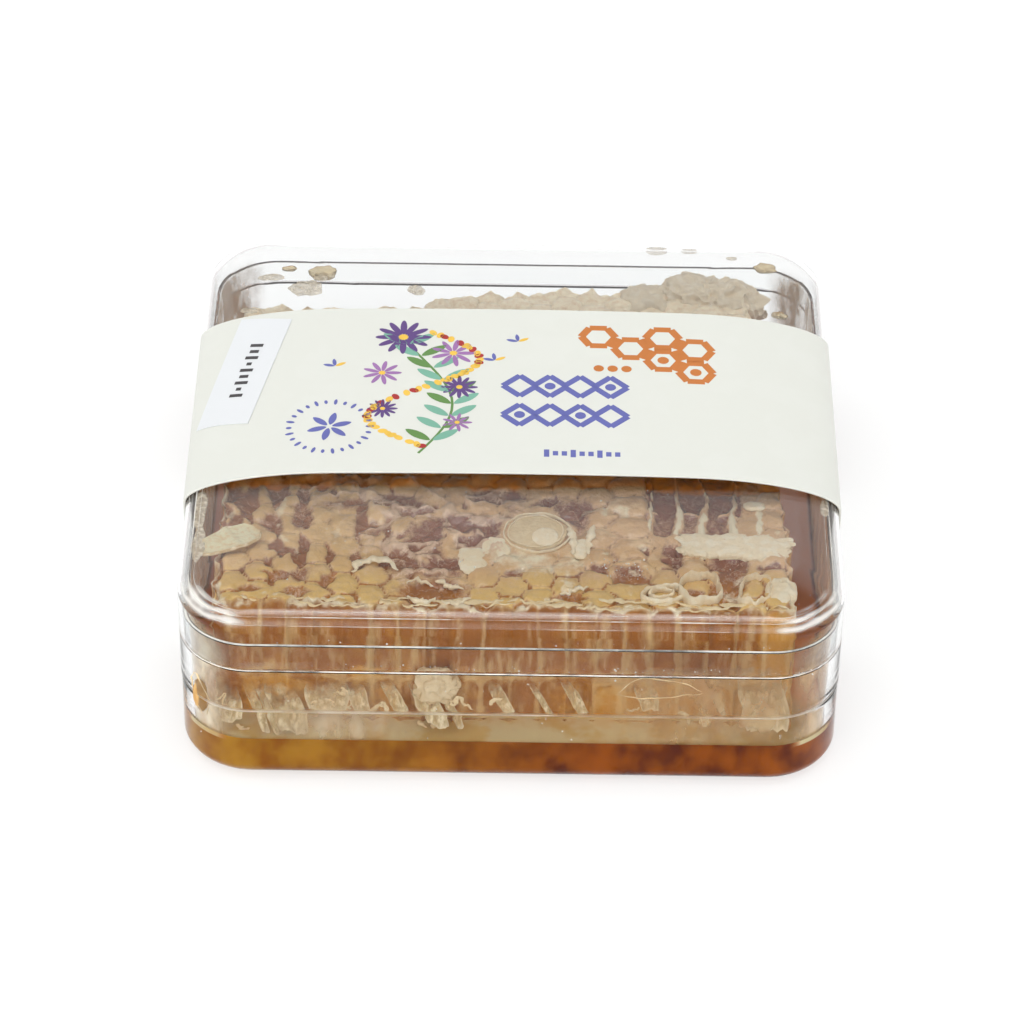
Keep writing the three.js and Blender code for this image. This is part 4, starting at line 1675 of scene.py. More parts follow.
@dataclass
class Strand:
    """A thin strand or flat strip of wax along a smooth line of points."""

    points: tuple
    wide: float
    tall: float
    seed: int = 1
    face: Spot = (0.0, 0.0, 1.0)
    wave: float = 0.25

    def _spot(self, u: Array) -> Array:
        """Places on a smooth curve through the points, for shares of its length.

        Args:
            u: Shares from its start to its end.

        Returns:
            A row of x, y and z for each share.
        """
        line = np.array(self.points, float)
        at = u * (len(line) - 1)
        low = np.clip(np.floor(at).astype(int), 0, len(line) - 2)
        t = (at - low)[:, None]
        a, b, c, d = (line[np.clip(low + k, 0, len(line) - 1)] for k in (-1, 0, 1, 2))
        return b + 0.5 * t * (c - a + t * (2 * a - 5 * b + 4 * c - d + t * (3 * (b - c) + d - a)))

    def build(self, name: str) -> Object:
        """Returns the strand, a grid rolled round its line and drawn out to a tip at both ends."""
        noise = Unevenness(self.seed)
        face = np.array(self.face)

        def place(u: Array, v: Array) -> Axes:
            """Points round the strand."""
            middle, way = self._spot(u), self._spot(u + 0.01) - self._spot(u - 0.01)
            side = np.cross(way, face)
            side /= np.maximum(np.linalg.norm(side, axis=1), 1e-6)[:, None]
            uneven = 1 + 0.5 * noise.layered(9 * u, u * 0, 0.0, 1.0)
            taper = (np.sin(math.pi * np.clip(u, 0, 1)) ** 0.5) * uneven
            turn = v * math.tau
            out = self.wide * taper * np.cos(turn) + self.wave * noise.at(12 * u, u * 0, 5.0, 1.2)
            up = self.tall * taper * np.sin(turn)
            spot = middle + out[:, None] * side + up[:, None] * face
            return tuple(spot.T)

        return closed_grid(name, 36, 8, place, 70.0)


def built(name: str, parts: Sequence[Lump | Curl | Strand]) -> Object:
    """Makes parts of wax and joins them into one piece under a name."""
    return joined(name, [part.build("part") for part in parts])


@dataclass
class TornComb:
    """What is torn, curled or heaped on the comb: bar, rims, flaps, knot, heap and scraps."""

    lift: float = 0.45
    front_face: float = -48.0
    flaps: tuple = (
        (-47.4, 13.8, 3.8, 6.6, 2.6, 0.2), (-43.9, 13.9, 1.5, 8.6, 3.2, 0.4), (-42.2, 14, 1.6, 9, 3.2, 0.4),
        (-38.6, 14, 5.6, 9, 3.2, 0.3), (-30.6, 14.6, 7.6, 5.2, 2.4, 0.1), (-26, 14.8, 3.2, 6, 2.6, 0.3),
        (-21, 15.6, 2.6, 6.4, 2, 0.5), (-15.4, 15.6, 4.4, 9, 3, 0.4), (-12.6, 15.2, 1.4, 9.2, 2.6, 0.5),
        (-3, 15, 2.4, 5.6, 1.8, 0.5), (3, 15.4, 1.2, 6.6, 1.8, 0.6), (9, 15.6, 1.8, 7, 1.6, 0.5),
        (22, 15, 3.4, 5, 1.8, 0.3), (33, 15.4, 1.4, 6.4, 1.8, 0.4), (40.6, 19.6, 7.8, 12, 3.4, 0.2),
        (44.6, 16.6, 4.2, 9, 3.8, -0.3),
    )
    torn_rims: tuple = ((-17.5, -42.4), (-12.6, -43), (-17, -46.4), (-11.4, -46.8), (8, -43.9))
    flap_rise: float = 1.2
    wall: float = -52.9
    seed: int = 17

    def build(self, wax: dict[str, Material]) -> None:
        """Makes and dresses all of the torn wax.

        Args:
            wax: The wax finishes by name.
        """
        lift = self.lift
        bar = Lump((36.6, -31.9, 31.55 + lift), (9.3, 3.1, 0.6), 0.66, 0.12, 1.5, seed=4)
        finish_piece(bar.build("wax_bar"), wax["pale"], ["honeycomb"])
        rims = [
            Curl((31.1, -43.2, 31.6 + lift), (3.0, 3.3), 0.3, 1.5, 0.3, 3, 1.5),
            Curl((24.7, -44.4, 31.5 + lift), (3.2, 2.0), 0.34, 0.8, 0.1, 5),
            Curl((24.7, -44.3, 31.7 + lift), (1.9, 1.1), 0.24, 0.6, 0.2, 6),
            Curl((40.2, -43.2, 31.4 + lift), (2.6, 3.4), 0.3, 1.3, -0.1, 8, 1.5),
            Lump((44.4, -43.2, 31.2 + lift), (2.3, 3.6, 1.3), 0.8, 0.12, 1.6, 0.1, 5, 9),
        ]
        finish_piece(built("curled_rims", rims), wax["pale"], ["honeycomb"])
        heap = [
            Lump((34.2, 41.0, 28.6 + lift), (9.0, 5.8, 4.6), 0.9, 0.2, 2.4, 0.16, seed=11),
            Lump((24.2, 39.6, 27.6 + lift), (6.6, 4.6, 4.6), 0.9, 0.22, 2.4, 0.16, 5, 12),
        ]
        finish_piece(built("back_heap", heap), wax["crumbly"], ["honeycomb"])
        knot = Lump((-12.4, -48.6, 16.0 + lift), (3.3, 1.4, 2.8), 0.8, 0.3, 1.8, 0.25, seed=14)
        finish_piece(knot.build("front_knot"), wax["bubble"], ["honeycomb"])
        flaps = [self._flap(i, *flap) for i, flap in enumerate(self.flaps)]
        finish_piece(joined("front_flaps", flaps), wax["sheet"], ["honeycomb"])
        self._scraps(wax)
        self._top_pieces(wax)

    def _top_pieces(self, wax: dict[str, Material]) -> None:
        """Cream pieces, a funnel and a curled strip on the top, and an outlined film on the front.

        Args:
            wax: The wax finishes by name.
        """
        high = 31.75 + self.lift
        left = ((9.4, -27.4, high), (10.2, -30.4, high), (10.2, -34.6, high))
        right = ((13.9, -26.6, high), (13.0, -30.2, high), (12.6, -34.4, high))
        pieces = [
            Lump((-6.5, -36.2, high - 0.2), (2.2, 3.0, 0.45), 0.8, 0.22, 1.6, 0.1, 5, 31),
            Lump((-2.8, -33.4, high - 0.2), (2.1, 2.9, 0.45), 0.8, 0.2, 1.8, 0.1, 5, 32),
            Lump((40.9, -20.6, high - 0.4), (1.9, 1.0, 0.4), 0.8, 0.25, 1.2, 0.1, 5, 33),
            Strand(left, 0.6, 0.3, 34),
            Strand(right, 0.6, 0.3, 35),
            Lump((11.5, -32.6, high - 0.3), (1.5, 2.6, 0.4), 0.9, 0.16, 1.6, 0.1, 5, 36),
        ]
        for k, (x, y) in enumerate(self.torn_rims):
            spots = tuple((x + 1.2 * i, y + 0.8 * math.sin(1.1 * i + k), high + 0.05) for i in range(5))
            pieces.append(Strand(spots, 0.35, 0.3, 60 + k, wave=0.5))
        turns = (3.1, 2.4, 1.7, 1.0, 0.2)
        arch = tuple((-22.5 + 3.7 * math.cos(a), -40.4 + 3.6 * math.sin(a), high + 0.2) for a in turns)
        pieces.append(Strand(arch, 0.8, 0.35, 37, wave=0.4))
        finish_piece(built("top_pieces", pieces), wax["pale"])
        front, level = (0.0, -1.0, 0.0), -53.15
        outlines = (
            (0.14, ((17.7, level, 18.8), (21.4, level, 22.1), (27.0, level, 21.8), (32.2, level, 19.3))),
            (0.1, ((17.7, level, 18.8), (23.0, level, 18.0), (32.2, level, 19.3))),
            (0.16, ((-52.6, -50.2, 18.8), (-51.6, -51.4, 19.6), (-49.6, -51.8, 15.0), (-49.9, -51.6, 11.2))),
            (0.16, ((-52.6, -50.2, 18.8), (-52.4, -50.4, 14.0), (-50.6, -51.6, 11.0))),
        )
        lines = [Strand(spots, wide, 0.1, 41 + k, front) for k, (wide, spots) in enumerate(outlines)]
        finish_piece(built("film_outlines", lines), wax["film"])
        drop = Lump((-51.0, -50.6, 15.0), (1.5, 0.5, 3.6), 1.0, 0.1, 2.0, 0.05, 5, 45)
        finish_piece(drop.build("amber_drop"), wax["amber"])

    def _flap(
        self, index: int, middle: float, top: float, width: float, drop: float, out: float, tilt: float,
    ) -> Object:
        """A torn strip of cell wall that hangs in front of the comb's front face.

        Args:
            index: Its number, which its unevenness follows.
            middle: X of its root.
            top: Z of its root.
            width: Its width.
            drop: Its length.
            out: How far its foot stands off the comb.
            tilt: How far its foot swings to the right for each millimetre of length.

        Returns:
            The strip.
        """
        noise = Unevenness(60 + index)

        def place(u: Array, v: Array) -> Axes:
            """Points of the strip."""
            down = 1 - v
            ragged = noise.layered(u * width, u * 0, 1.0, 1.6)
            length = down * drop
            taper = 0.7 + 0.3 * np.sin(math.pi * (0.15 + 0.75 * down))
            taper = taper + 0.12 * noise.at(length, u * 2, 5.0, 2.0)
            x = middle + (u - 0.5) * width * taper + tilt * length
            x = x + 0.25 * noise.at(length, u * 2, 8.0, 3.0)
            z = top + self.flap_rise + self.lift + 0.5 * ragged * (1 - down)
            z = z - length * (0.86 + 0.12 * ragged)
            y = self.front_face - out * down**1.3 + 0.35 * noise.layered(x * 1.6, z * 0.3, 3.0, 1.3)
            return x, np.maximum(y - 0.6 * (1 - (2 * u - 1) ** 2) * down, self.wall), z

        piece = grid_piece(f"flap_{index}", 16, 24, place)
        up = stored(piece, "v")
        ragged = 0.2 * noise.layered(points_of(piece)[:, 0], up * drop, 7.0, 2.0)
        store(piece, "root", step(0.3, 1.0, up + ragged))
        return self.thicken(piece, 0.2)

    @staticmethod
    def thicken(piece: Object, thick: float) -> Object:
        """Keeps how near each point is to the sheet's edge and gives the sheet its thickness.

        Args:
            piece: The sheet.
            thick: Its thickness in millimetres.

        Returns:
            The same piece.
        """
        u, v = stored(piece, "u"), stored(piece, "v")
        store(piece, "edge", 0.8 * np.maximum(np.abs(2 * u - 1), 1 - 2 * v) ** 7)
        solidify(piece, thick, 0.0)
        smooth(piece, 70.0)
        return piece

    def _scraps(self, wax: dict[str, Material]) -> None:
        """Thin scraps along the top's front edge and loose strands over the front.

        Args:
            wax: The wax finishes by name.
        """
        draw = random.Random(self.seed)
        top = 31.5 + self.lift
        edge = []
        for k in range(26):
            x, y = -46.5 + 88.0 * k / 25 + draw.uniform(-1.6, 1.6), draw.uniform(-48.3, -46.0)
            spots = [
                (x + 1.5 * i, y + draw.uniform(-0.5, 0.5), top - 0.1 + draw.uniform(0, 0.4))
                for i in range(5)
            ]
            edge.append(Strand(spots, draw.uniform(0.15, 0.6), 0.12, 100 + k))
        finish_piece(built("edge_scraps", edge), wax["film"])
        loose, front = [], (0.0, -1.0, 0.0)
        for k in range(22):
            x = draw.choice([draw.uniform(-49, -9), draw.uniform(-49, 44)])
            y, z = -49.2 - 1.6 * draw.random(), draw.uniform(8.0, 15.5)
            spots = [
                (x + i * draw.uniform(0.2, 0.9), y, z + i * draw.uniform(-1.0, 0.5)) for i in range(4)
            ]
            loose.append(Strand(spots, draw.uniform(0.15, 0.5), 0.12, 200 + k, front))
        finish_piece(built("front_scraps", loose), wax["film"])


@dataclass
class OvalBubble:
    """A large flat bubble under a film of honey on the comb's top."""

    middle: Pair = (4.2, -28.7)
    half: Pair = (5.5, 5.0)
    height: float = 32.0

    def build(self, wax: dict[str, Material]) -> None:
        """Makes and dresses the bubble's rim, its clear roof and the pale disc inside.

        Args:
            wax: The wax finishes by name.
        """
        x, y = self.middle
        plate = Lump((x, y, self.height), (5.0, 4.5, 0.25), 1.0, 0.04, 2.0, 0.02, 5, 25)
        finish_piece(plate.build("bubble_film"), wax["bubble"])
        ring = Curl((x, y, self.height + 0.1), self.half, 0.16, 0.3, 0.15, 21, 0.4)
        inner = Curl((x - 0.3, y + 0.1, self.height + 0.25), (4.6, 4.1), 0.1, 0.15, 0.3, 22, 0.4)
        finish_piece(built("bubble_rims", [ring, inner]), wax["pale"])
        disc = Lump((x + 1.4, y - 1.2, self.height + 0.2), (2.3, 2.4, 0.3), 1.0, 0.06, 1.5, 0.03, 5, 24)
        finish_piece(disc.build("bubble_disc"), wax["pale"])


@dataclass
class WaxFlake:
    """A loose flake of clear wax over the comb's left edge."""

    tail: Pair = (-51.2, -36.4)
    tip: Pair = (-42.4, -30.6)
    half_width: float = 3.0
    thick: float = 0.5
    height: float = 33.1
    places: tuple = (0.0, 0.14, 0.6, 0.9, 1.0)
    upper: tuple = (0.12, 0.8, 1.0, 0.8, 0.4)
    lower: tuple = (0.12, 0.42, 0.95, 0.85, 0.4)

    def build(self, wax: Material, rim: Material) -> None:
        """Makes and dresses the flake and the thin bright rims along its two edges.

        Args:
            wax: The flake's finish.
            rim: The rims' finish.
        """
        way = np.array(self.tip) - np.array(self.tail)
        length = float(np.hypot(*way))
        ux, uy = way / length

        def place(u: Array, v: Array) -> Axes:
            """Points of the flake."""
            side = 2 * v - 1
            upper, lower = np.interp(u, self.places, self.upper), np.interp(u, self.places, self.lower)
            wide = self.half_width * np.where(side > 0, upper, lower)
            curl = 0.35 * side**2 - 0.6 * (1 - u) ** 2 + 0.2 * np.sin(3 * u + 1.5 * side)
            fold = 0.3 * bell(u - 0.55, 0.06)
            x = self.tail[0] + ux * length * u - uy * wide * side
            y = self.tail[1] + uy * length * u + ux * wide * side
            return x, y, self.height + curl + fold

        piece = TornComb.thicken(grid_piece("clear_flake", 36, 20, place), self.thick)
        finish_piece(piece, wax, ["wax_flake"])
        rims = []
        for index, edge in enumerate((0.03, 0.97)):
            u = np.linspace(0.0, 1.0, 11)
            line = tuple(zip(*(values.tolist() for values in place(u, np.full(11, edge)))))
            rims.append(Strand(line, 0.2, 0.2, seed=60 + index, wave=0.05))
        finish_piece(built("flake_rims", rims), rim, ["wax_flake"])


@dataclass
class WallFilm:
    """Honey and wax smeared up the inside of the box's side walls and corners."""

    box: ClearBox
    low: float = 7.3
    high: float = 30.2
    inset: float = 0.16
    start: float = 45.0
    end: float = 50.5

    def build(self, film: Material) -> None:
        """Makes and dresses the film, with a cover for each point that thins it out.

        Args:
            film: Its finish.
        """
        rows = 24
        noise = Unevenness(71)

        def place(u: Array, v: Array) -> Axes:
            """Points just inside the wall."""
            half = self.box.inner - self.inset + 0.06 * np.sin(40 * u)
            x, y = self.box.ring(half, np.rint(u * self.box.around).astype(int))
            return x, y, self.low + (self.high - self.low) * v + self.box.lift

        piece = grid_piece("wall_film", self.box.around, rows, place)
        weld(piece)
        x, y, z = points_of(piece).T
        side = step(self.start, self.end, np.abs(x))
        front = 0.5 * step(0.15, 0.5, noise.layered(x, y, z * 0.8, 14.0, 2)) * step(-50.0, -52.0, y)
        front = front * (1 - 0.8 * step(-20.0, -12.0, x) * step(12.0, 4.0, x))
        store(piece, "cover", np.maximum(side * step(self.high, self.high - 3, z), front * (z < 24)))
        smooth(piece, 60.0)
        finish_piece(piece, film)


@dataclass
class Specks:
    """Small bubbles and crumbs in the honey, along the seams of the box and over the comb, glowing as
    painted glints.
    """

    box: ClearBox
    seed: int = 29
    faces: int = 2
    groups: tuple = (
        (60, (-50, 50), (-54.1, -53.7), (23.4, 24.4), 0.10),
        (22, (-46, 46), (-53.6, -53.3), (28.2, 29.4), 0.10),
        (40, (48.6, 52.2), (-46, -14), (7.6, 7.8), 0.15),
        (12, (-52, 50), (-52.8, -49.6), (7.5, 7.7), 0.14),
        (50, (-46, 46), (-47, -13), (32.9, 34.2), 0.09),
        (60, (15, 22.5), (-41, -36), (31.9, 32.4), 0.10),
        (24, (-44, 44), (-52.9, -50.4), (10, 22), 0.12),
    )

    def build(self, bright: Material) -> None:
        """Makes and dresses the specks, one ball copied to every place.

        Args:
            bright: Their finish, the glowing painted highlight.
        """
        draw = random.Random(self.seed)
        add = bpy.ops.mesh.primitive_ico_sphere_add
        pattern = primitive("pattern", add, subdivisions=self.faces, radius=1.0)
        way = points_of(pattern) * MM
        specks = []
        for count, across, along, up, size in self.groups:
            for _ in range(count):
                x, y, z = (draw.uniform(*reach) for reach in (across, along, up))
                middle = np.array([x, y, z + self.box.lift])
                speck = bpy.data.objects.new("speck", pattern.data.copy())
                bpy.context.scene.collection.objects.link(speck)
                set_points(speck, middle + way * size * draw.choice((0.6, 0.8, 1.0, 1.5)))
                specks.append(speck)
        bpy.data.objects.remove(pattern)
        piece = joined("specks", specks)
        smooth(piece, 180.0)
        finish_piece(piece, bright)


@dataclass
class LidSmears:
    """Wax and honey that cling to the underside of the lid behind the sleeve and at its edges."""

    box: ClearBox
    tan: tuple = (
        (-37.4, 35, 2.6, 2.6), (-34.8, 38.6, 1.4, 1.6), (-43.6, 39, 2.4, 0.9), (-17.6, 34.6, 1.7, 1.6),
        (-51.9, -35, 1, 4.2), (-52.1, -25, 0.9, 4.2), (52.3, -22.5, 0.6, 2.2), (25.2, 51.2, 1.9, 1.2),
        (31.6, 51, 1.5, 0.6), (-46.9, 29.6, 1.7, 0.9), (38.9, 47.6, 1, 0.5),
    )
    clear: tuple = (
        (-34.6, 40, 2.2, 2.6), (-40.6, 41.4, 1.4, 1), (44.8, 44.4, 2, 1.7), (46.8, 30.4, 1.6, 1.2),
    )

    def build(self, wax: Material, clear: Material) -> None:
        """Makes and dresses the tan smears and the clear ones.

        Args:
            wax: The tan ones' finish.
            clear: The clear ones' finish.
        """
        kinds = {"wax_smears": (self.tan, wax, 0.22), "clear_smears": (self.clear, clear, 0.3)}
        for name, (places, material, height) in kinds.items():
            smears = []
            for k, (x, y, wide, deep) in enumerate(places):
                middle = (x, y, self._ceiling(x, y) - 0.1)
                smears.append(Lump(middle, (wide, deep, height), 1.0, 0.28, 1.6, 0.1, 5, 90 + k))
            finish_piece(built(name, smears), material)

    def _ceiling(self, x: float, y: float) -> float:
        """Height of the lid's underside at a place.

        Args:
            x, y: The place in millimetres.

        Returns:
            The height in millimetres.
        """
        inner = self.box.half - self.box.lid_wall
        rise = self.box.rise + self.box.lid_wall - self.box.lid_top_wall
        half = min(max(abs(x), abs(y)), inner)
        return self.box.pillow(half, inner, self.box.shoulder - self.box.lid_wall, rise) + self.box.lift


@dataclass
class SleevePrint:
    """Flat colour shapes printed on the sleeve: a flowering twig, rings, lozenges and dashes."""

    sleeve: CardSleeve
    lift: float = 0.02
    thick: float = 0.02
    cells: tuple = ((14.6, 17.8), (20.2, 14.6), (25.8, 17.8), (31.4, 14.6), (25.8, 11.4), (31.4, 8.2))
    ring_middle: Pair = (-31.3, -8.6)
    ring_radius: float = 6.9

    def _shape(self, points: Array) -> Object:
        """One flat shape over the sleeve from its outline.

        Args:
            points: Rows of x and y along the outline.

        Returns:
            The shape.
        """
        add = bpy.ops.mesh.primitive_circle_add
        piece = primitive("shape", add, vertices=len(points), radius=1.0, fill_type="NGON")
        z = np.array([self.sleeve.outer_height(x) for x in points[:, 0]]) + self.lift
        set_points(piece, np.column_stack([points, z]))
        return piece

    @staticmethod
    def _oval(x: float, y: float, long: float, wide: float, turn: float, point: float = 1.0) -> Array:
        """Outline of an oval or, with a point above 1, of a leaf, from half its length and width."""
        angle = np.linspace(0, math.tau, 20, endpoint=False)
        a, b = long * np.cos(angle), wide * np.sign(np.sin(angle)) * np.abs(np.sin(angle)) ** point
        cos, sin = math.cos(turn), math.sin(turn)
        return np.column_stack([x + cos * a - sin * b, y + sin * a + cos * b])

    @staticmethod
    def _strip(points: Sequence[Pair], wide: float) -> Array:
        """Outline of a narrow strip along a line of points.

        Args:
            points: x and y of each point.
            wide: The strip's width.

        Returns:
            Rows of x and y.
        """
        line = np.array(points, float)
        way = np.gradient(line, axis=0)
        way /= np.linalg.norm(way, axis=1)[:, None]
        side = np.stack([-way[:, 1], way[:, 0]], axis=1) * wide / 2
        return np.concatenate([line + side, (line - side)[::-1]])

    @classmethod
    def _ring(cls, x: float, y: float, size: float, wide: float, corners: int) -> list[Array]:
        """Bars that make the outline of a polygon.

        Args:
            x, y: Its middle.
            size: Distance from the middle to its corners.
            wide: Width of the bars.
            corners: How many corners it has.

        Returns:
            The outline of each bar.
        """
        turns = [k * math.tau / corners for k in range(corners + 1)]
        ends = [(x + size * math.cos(turn), y + size * math.sin(turn)) for turn in turns]
        return [cls._strip((a, b), wide) for a, b in zip(ends, ends[1:])]

    def _twig(self) -> dict[str, list[Array]]:
        """A twig that winds upwards with paired leaves, blossoms and berries."""
        inks = ("green", "teal", "purple", "mauve", "yellow", "red")
        shapes: dict[str, list[Array]] = {name: [] for name in inks}
        along = np.linspace(0, 1, 22)
        stem_x, stem_y = -16.0 + 5.5 * np.sin(4.2 * along), -16.0 + 36.0 * along
        stem = list(zip(stem_x, stem_y))
        shapes["green"].append(self._strip(stem, 0.45))
        for k in range(2, 20, 2):
            x, y = stem[k]
            for side in (-1, 1):
                turn = math.pi / 2 + side * 0.95
                leaf = self._oval(x + 2.9 * math.cos(turn), y + 2.9 * math.sin(turn), 2.6, 0.85, turn, 1.5)
                shapes["teal" if (k + side) % 3 else "green"].append(leaf)
        blossoms = ((-19.4, 17, 4.9, "purple"), (-10.6, 12.4, 3.9, "mauve"), (-22.8, 6.6, 3.4, "mauve"),
                    (-9.4, 2.6, 3.2, "purple"), (-22.4, -3.6, 2.6, "purple"), (-9.6, -7.4, 2.6, "mauve"))
        for x, y, size, tone in blossoms:
            petals = 12 if tone == "purple" else 9
            for k in range(petals):
                turn = k * math.tau / petals
                px, py = x + 0.58 * size * math.cos(turn), y + 0.58 * size * math.sin(turn)
                shapes[tone].append(self._oval(px, py, 0.42 * size, 0.12 * size, turn))
            shapes["yellow"].append(self._oval(x, y, 0.17 * size, 0.17 * size, 0.0))
        for k in range(44):
            spot = (k * 0.618034) % 1.0
            x, y = -15.5 + 9.5 * math.sin(2.4 * k), -14.0 + 33.0 * spot
            shapes["yellow" if k % 4 else "red"].append(self._oval(x, y, 0.85, 0.6, 0.7 * k))
        return shapes

    def build(self, inks: dict[str, Material]) -> None:
        """Makes and dresses the print, one piece for each ink.

        Args:
            inks: The finishes by ink.
        """
        shapes = self._twig()
        orange = shapes["orange"] = []
        blue = shapes["blue"] = []
        for k, (x, y) in enumerate(self.cells):
            orange += self._ring(x, y, 3.0, 1.4, 6)
            if k > 3:
                orange.append(self._oval(x, y, 1.0, 1.0, 0.0))
        for k in range(3):
            orange.append(self._oval(14.6 + 2.4 * k, 8.6, 0.9, 0.9, 0.0))
        for row in range(2):
            for k in range(4):
                x, y = 1.0 + 5.2 * k, 3.2 - 8.2 * row
                blue += self._ring(x, y, 2.9, 1.2, 4)
                if (k + row) % 2:
                    blue.append(self._oval(x, y, 0.95, 0.95, 0.0))
        for k in range(9):
            x = 5.2 + 1.5 * k
            blue.append(self._strip(((x, -15.6), (x + 0.9, -15.6)), 1.2 if k % 3 else 2.0))
        mid_x, mid_y = self.ring_middle
        for k in range(26):
            turn = k * math.tau / 26
            x, y = mid_x + self.ring_radius * math.cos(turn), mid_y + self.ring_radius * math.sin(turn)
            blue.append(self._oval(x, y, 0.5 if k % 2 else 0.75, 0.3, turn))
        for k in range(6):
            turn = k * math.tau / 6 + 0.3
            x, y = mid_x + 2.2 * math.cos(turn), mid_y + 2.2 * math.sin(turn)
            blue.append(self._oval(x, y, 1.7, 0.62, turn, 1.4))
        for x, y in ((-31.0, 8.6), (0.6, 16.0), (-3.4, 10.4)):
            for turn in (0.5, 1.7, 2.9):
                leaf = self._oval(x + 1.1 * math.cos(turn), y + 1.1 * math.sin(turn), 1.0, 0.35, turn, 1.4)
                (blue if turn > 1 else shapes["yellow"]).append(leaf)
        for ink, outlines in shapes.items():
            piece = joined(f"print_{ink}", [self._shape(outline) for outline in outlines])
            solidify(piece, self.thick)
            finish_piece(piece, inks[ink])


@dataclass
class StickerMarks:
    """A column of plain printed bars on the label."""

    sticker: DateSticker
    bars: int = 9
    step_along: float = 1.75
    lift: float = 0.2
    thick: float = 0.02

    def build(self, ink: Material) -> None:
        """Makes and dresses the bars.

        Args:
            ink: Their finish.
        """
        bars = []
        for k in range(self.bars):
            along = 7.0 - self.step_along * k
            wide = (1.15, 0.8, 1.15, 0.45)[k % 4]

            def place(u: Array, v: Array, along: float = along, wide: float = wide) -> Axes:
                """Points of one bar."""
                return self.sticker.over((2 * u - 1) * wide + 0.3, along + (v - 0.5) * 0.8, self.lift)

            bar = grid_piece("bar", 4, 1, place)
            solidify(bar, self.thick)
            bars.append(bar)
        finish_piece(joined("sticker_bars", bars), ink)


@dataclass
class Studio:
    """Pale floor, soft light from above and a long lens that looks down at the front."""

    camera_place: Spot = (-0.00004, -0.60569, 0.49596)
    pitch: float = 38.51
    roll: float = 0.82
    lens: float = 155.55
    horizon: Spot = (0.90, 0.87, 0.87)
    sky: Spot = (0.3, 0.3, 0.3)
    sky_edge: Pair = (0.69, 0.77)
    soft: Spot = (2.35, 2.32, 2.26)
    soft_way: Spot = (-0.15, -1.0, 0.75)
    soft_reach: Pair = (46.0, 26.0)
    lamp: Spot = (3.8, 4.0, 4.05)
    lamp_lean: float = 0.02
    lamp_width: Pair = (0.135, 0.07)
    lamp_length: Pair = (0.95, 0.7)
    floor_side: float = 8.0
    floor_tone: Tone = (0.36, 0.36, 0.36, 1.0)
    floor_glow: float = 0.62

    def build(self) -> None:
        """Makes the floor, the lights and the camera."""
        self._floor()
        self._sky()
        scene = bpy.context.scene
        data = bpy.data.cameras.new("camera")
        camera = bpy.data.objects.new("camera", data)
        scene.collection.objects.link(camera)
        data.lens = self.lens
        data.sensor_width = 36.0
        data.clip_start = 0.01
        turn = Euler((math.radians(90 - self.pitch), 0, 0)).to_matrix().to_4x4()
        tilt = Matrix.Rotation(math.radians(self.roll), 4, "Z")
        camera.matrix_world = Matrix.Translation(self.camera_place) @ turn @ tilt
        scene.camera = camera
        scene.view_settings.view_transform = "Standard"
        scene.cycles.transmission_bounces = 14
        scene.cycles.max_bounces = 18
        scene.cycles.transparent_max_bounces = 12
        scene.cycles.caustics_refractive = True

    def _floor(self) -> None:
        """The floor, a sheet that the pack stands on."""
        floor = primitive("floor", bpy.ops.mesh.primitive_plane_add, size=self.floor_side)
        material, sheet, shader = bare_material("pale_floor")
        sheet.fill(shader, {
            "Base Color": self.floor_tone,
            "Roughness": 0.85,
            "Emission Color": (1.0, 1.0, 1.0, 1.0),
            "Emission Strength": self.floor_glow,
        })
        floor.data.materials.append(material)

    def _sky(self) -> None:
        """Pale walls under a dimmer sky, a long lamp overhead and a soft light in front."""
        world = bpy.data.worlds.new("studio")
        bpy.context.scene.world = world
        world.use_nodes = True
        sheet = Sheet(world.node_tree)
        way = sheet.add("TexCoord").outputs["Generated"]
        axes = sheet.add("SeparateXYZ", {0: way}).outputs
        lit = sheet.mix(sheet.ramp(axes["Z"], *self.sky_edge), (*self.horizon, 1.0), (*self.sky, 1.0))
        aim = tuple(Vector(self.soft_way).normalized())
        near = sheet.add("VectorMath", {0: way, 1: aim}, operation="DOT_PRODUCT").outputs["Value"]
        outer, inner = (math.cos(math.radians(angle)) for angle in self.soft_reach)
        lit = sheet.mix(sheet.ramp(near, outer, inner), lit, (*self.soft, 1.0))
        lean = sheet.maths("SUBTRACT", sheet.maths("DIVIDE", axes["Y"], axes["Z"]), self.lamp_lean)
        across = sheet.ramp(sheet.maths("ABSOLUTE", lean), *self.lamp_width)
        along = sheet.maths("ABSOLUTE", sheet.maths("DIVIDE", axes["X"], axes["Z"]))
        strip = sheet.times(across, sheet.ramp(along, *self.lamp_length))
        strip = sheet.times(strip, sheet.maths("GREATER_THAN", axes["Z"], 0.0))
        light = sheet.mix(strip, lit, (*self.lamp, 1.0))
        sheet.fill(world.node_tree.nodes["Background"], {"Color": light})


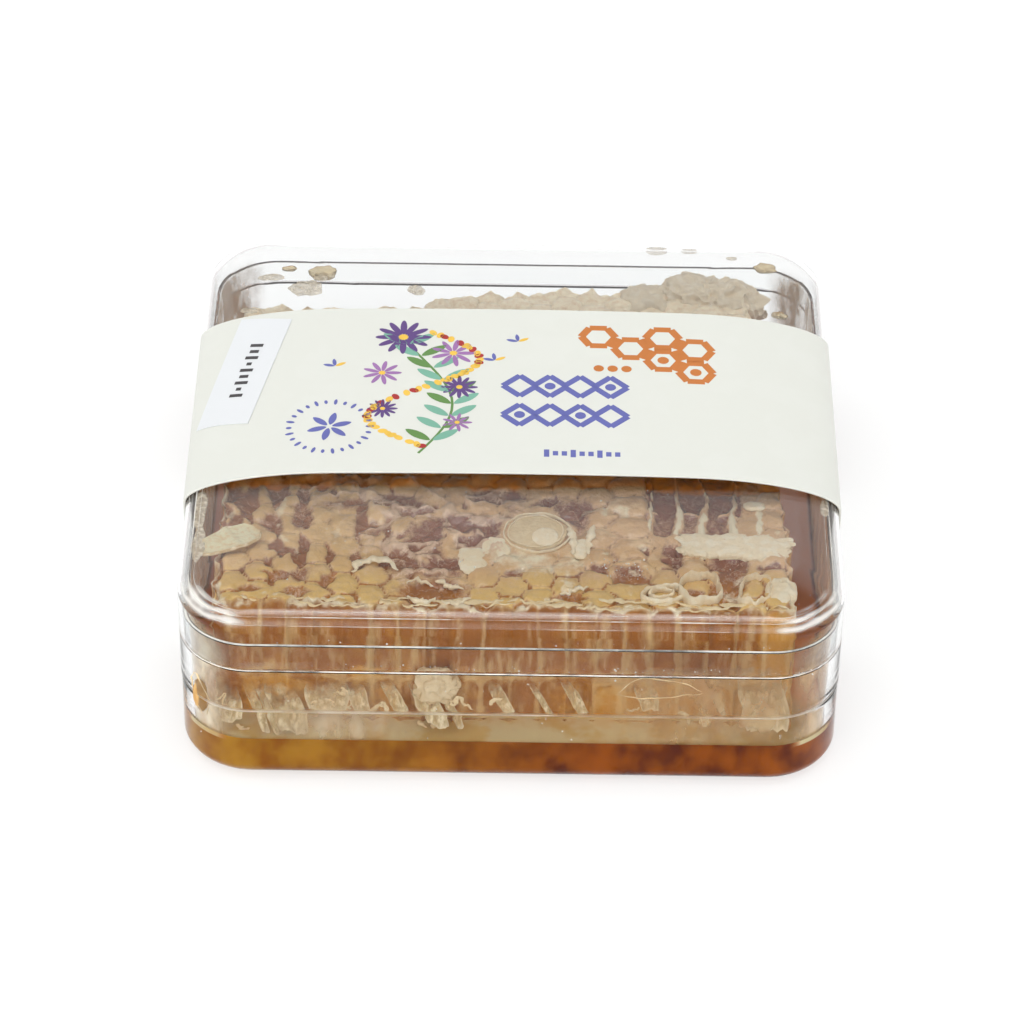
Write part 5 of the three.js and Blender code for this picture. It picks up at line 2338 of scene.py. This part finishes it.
def main() -> None:
    """Builds the studio and each part of the pack in order."""
    logging.basicConfig(level=logging.INFO, format="%(message)s")
    Studio().build()
    box = ClearBox()
    bright = EdgeShine().build()
    # One plastic in two copies: the walls' copy has its reflections dimmed, painted shade on the mirrored
    # floor and front light.
    wall, top = ClearPlastic("wall_plastic", 0.12), ClearPlastic("top_plastic", 0.9)
    box.build(wall.build(), top.build(), bright, CornerShine().build())
    HoneyPool(box).build(RunnyHoney().build())
    CombBlock(CellLattice()).build(CombWax().build())
    wax = {
        name: TornWax(f"{name}_wax", colour(*light), colour(*dark), transmission, roughness).build()
        for name, light, dark, transmission, roughness in (
            ("pale", (255, 247, 228), (246, 226, 192), 0.0, 0.3),
            ("crumbly", (252, 242, 222), (236, 218, 188), 0.1, 0.4),
            ("film", (250, 234, 198), (238, 212, 166), 0.0, 0.1),
            ("bubble", (246, 226, 190), (228, 202, 160), 0.0, 0.05),
            ("amber", (226, 190, 130), (196, 150, 86), 0.0, 0.08),
            ("glaze", (252, 244, 220), (246, 228, 190), 0.75, 0.08),
        )
    }
    wax["sheet"] = TornSheet("sheet_wax", colour(250, 236, 202), colour(236, 206, 148), 0.42).build()
    wax["smear"] = TornSheet("smear_wax", colour(255, 248, 232), colour(244, 228, 200), 0.4).build()
    TornComb().build(wax)
    OvalBubble().build(wax)
    WallFilm(box).build(SmearedFilm().build())
    Specks(box).build(bright)
    LidSmears(box).build(wax["smear"], wax["glaze"])
    sleeve = CardSleeve(box)
    sleeve.build(PrintedCard("cream_card", colour(218, 220, 214), colour(215, 217, 210)).build())
    inks = {
        "green": colour(96, 140, 70), "teal": colour(120, 178, 156), "purple": colour(92, 62, 128),
        "mauve": colour(158, 112, 172), "yellow": colour(240, 196, 74), "red": colour(172, 34, 34),
        "orange": colour(200, 118, 46), "blue": colour(96, 102, 174),
    }
    SleevePrint(sleeve).build({
        name: PrintedCard(f"ink_{name}", tone, tuple(0.9 * part for part in tone[:3]) + (1.0,), 0.5).build()
        for name, tone in inks.items()
    })
    sticker = DateSticker(sleeve)
    sticker.build(PrintedCard("white_label", colour(221, 224, 227), colour(219, 222, 225), 0.45).build())
    black = PrintedCard("ink_black", colour(44, 42, 44), colour(60, 58, 60), 0.5)
    StickerMarks(sticker).build(black.build())
    flake = TornSheet("flake_wax", colour(226, 192, 138), colour(255, 244, 206), 0.85)
    WaxFlake().build(flake.build(), wax["pale"])


if __name__ == "__main__":
    main()
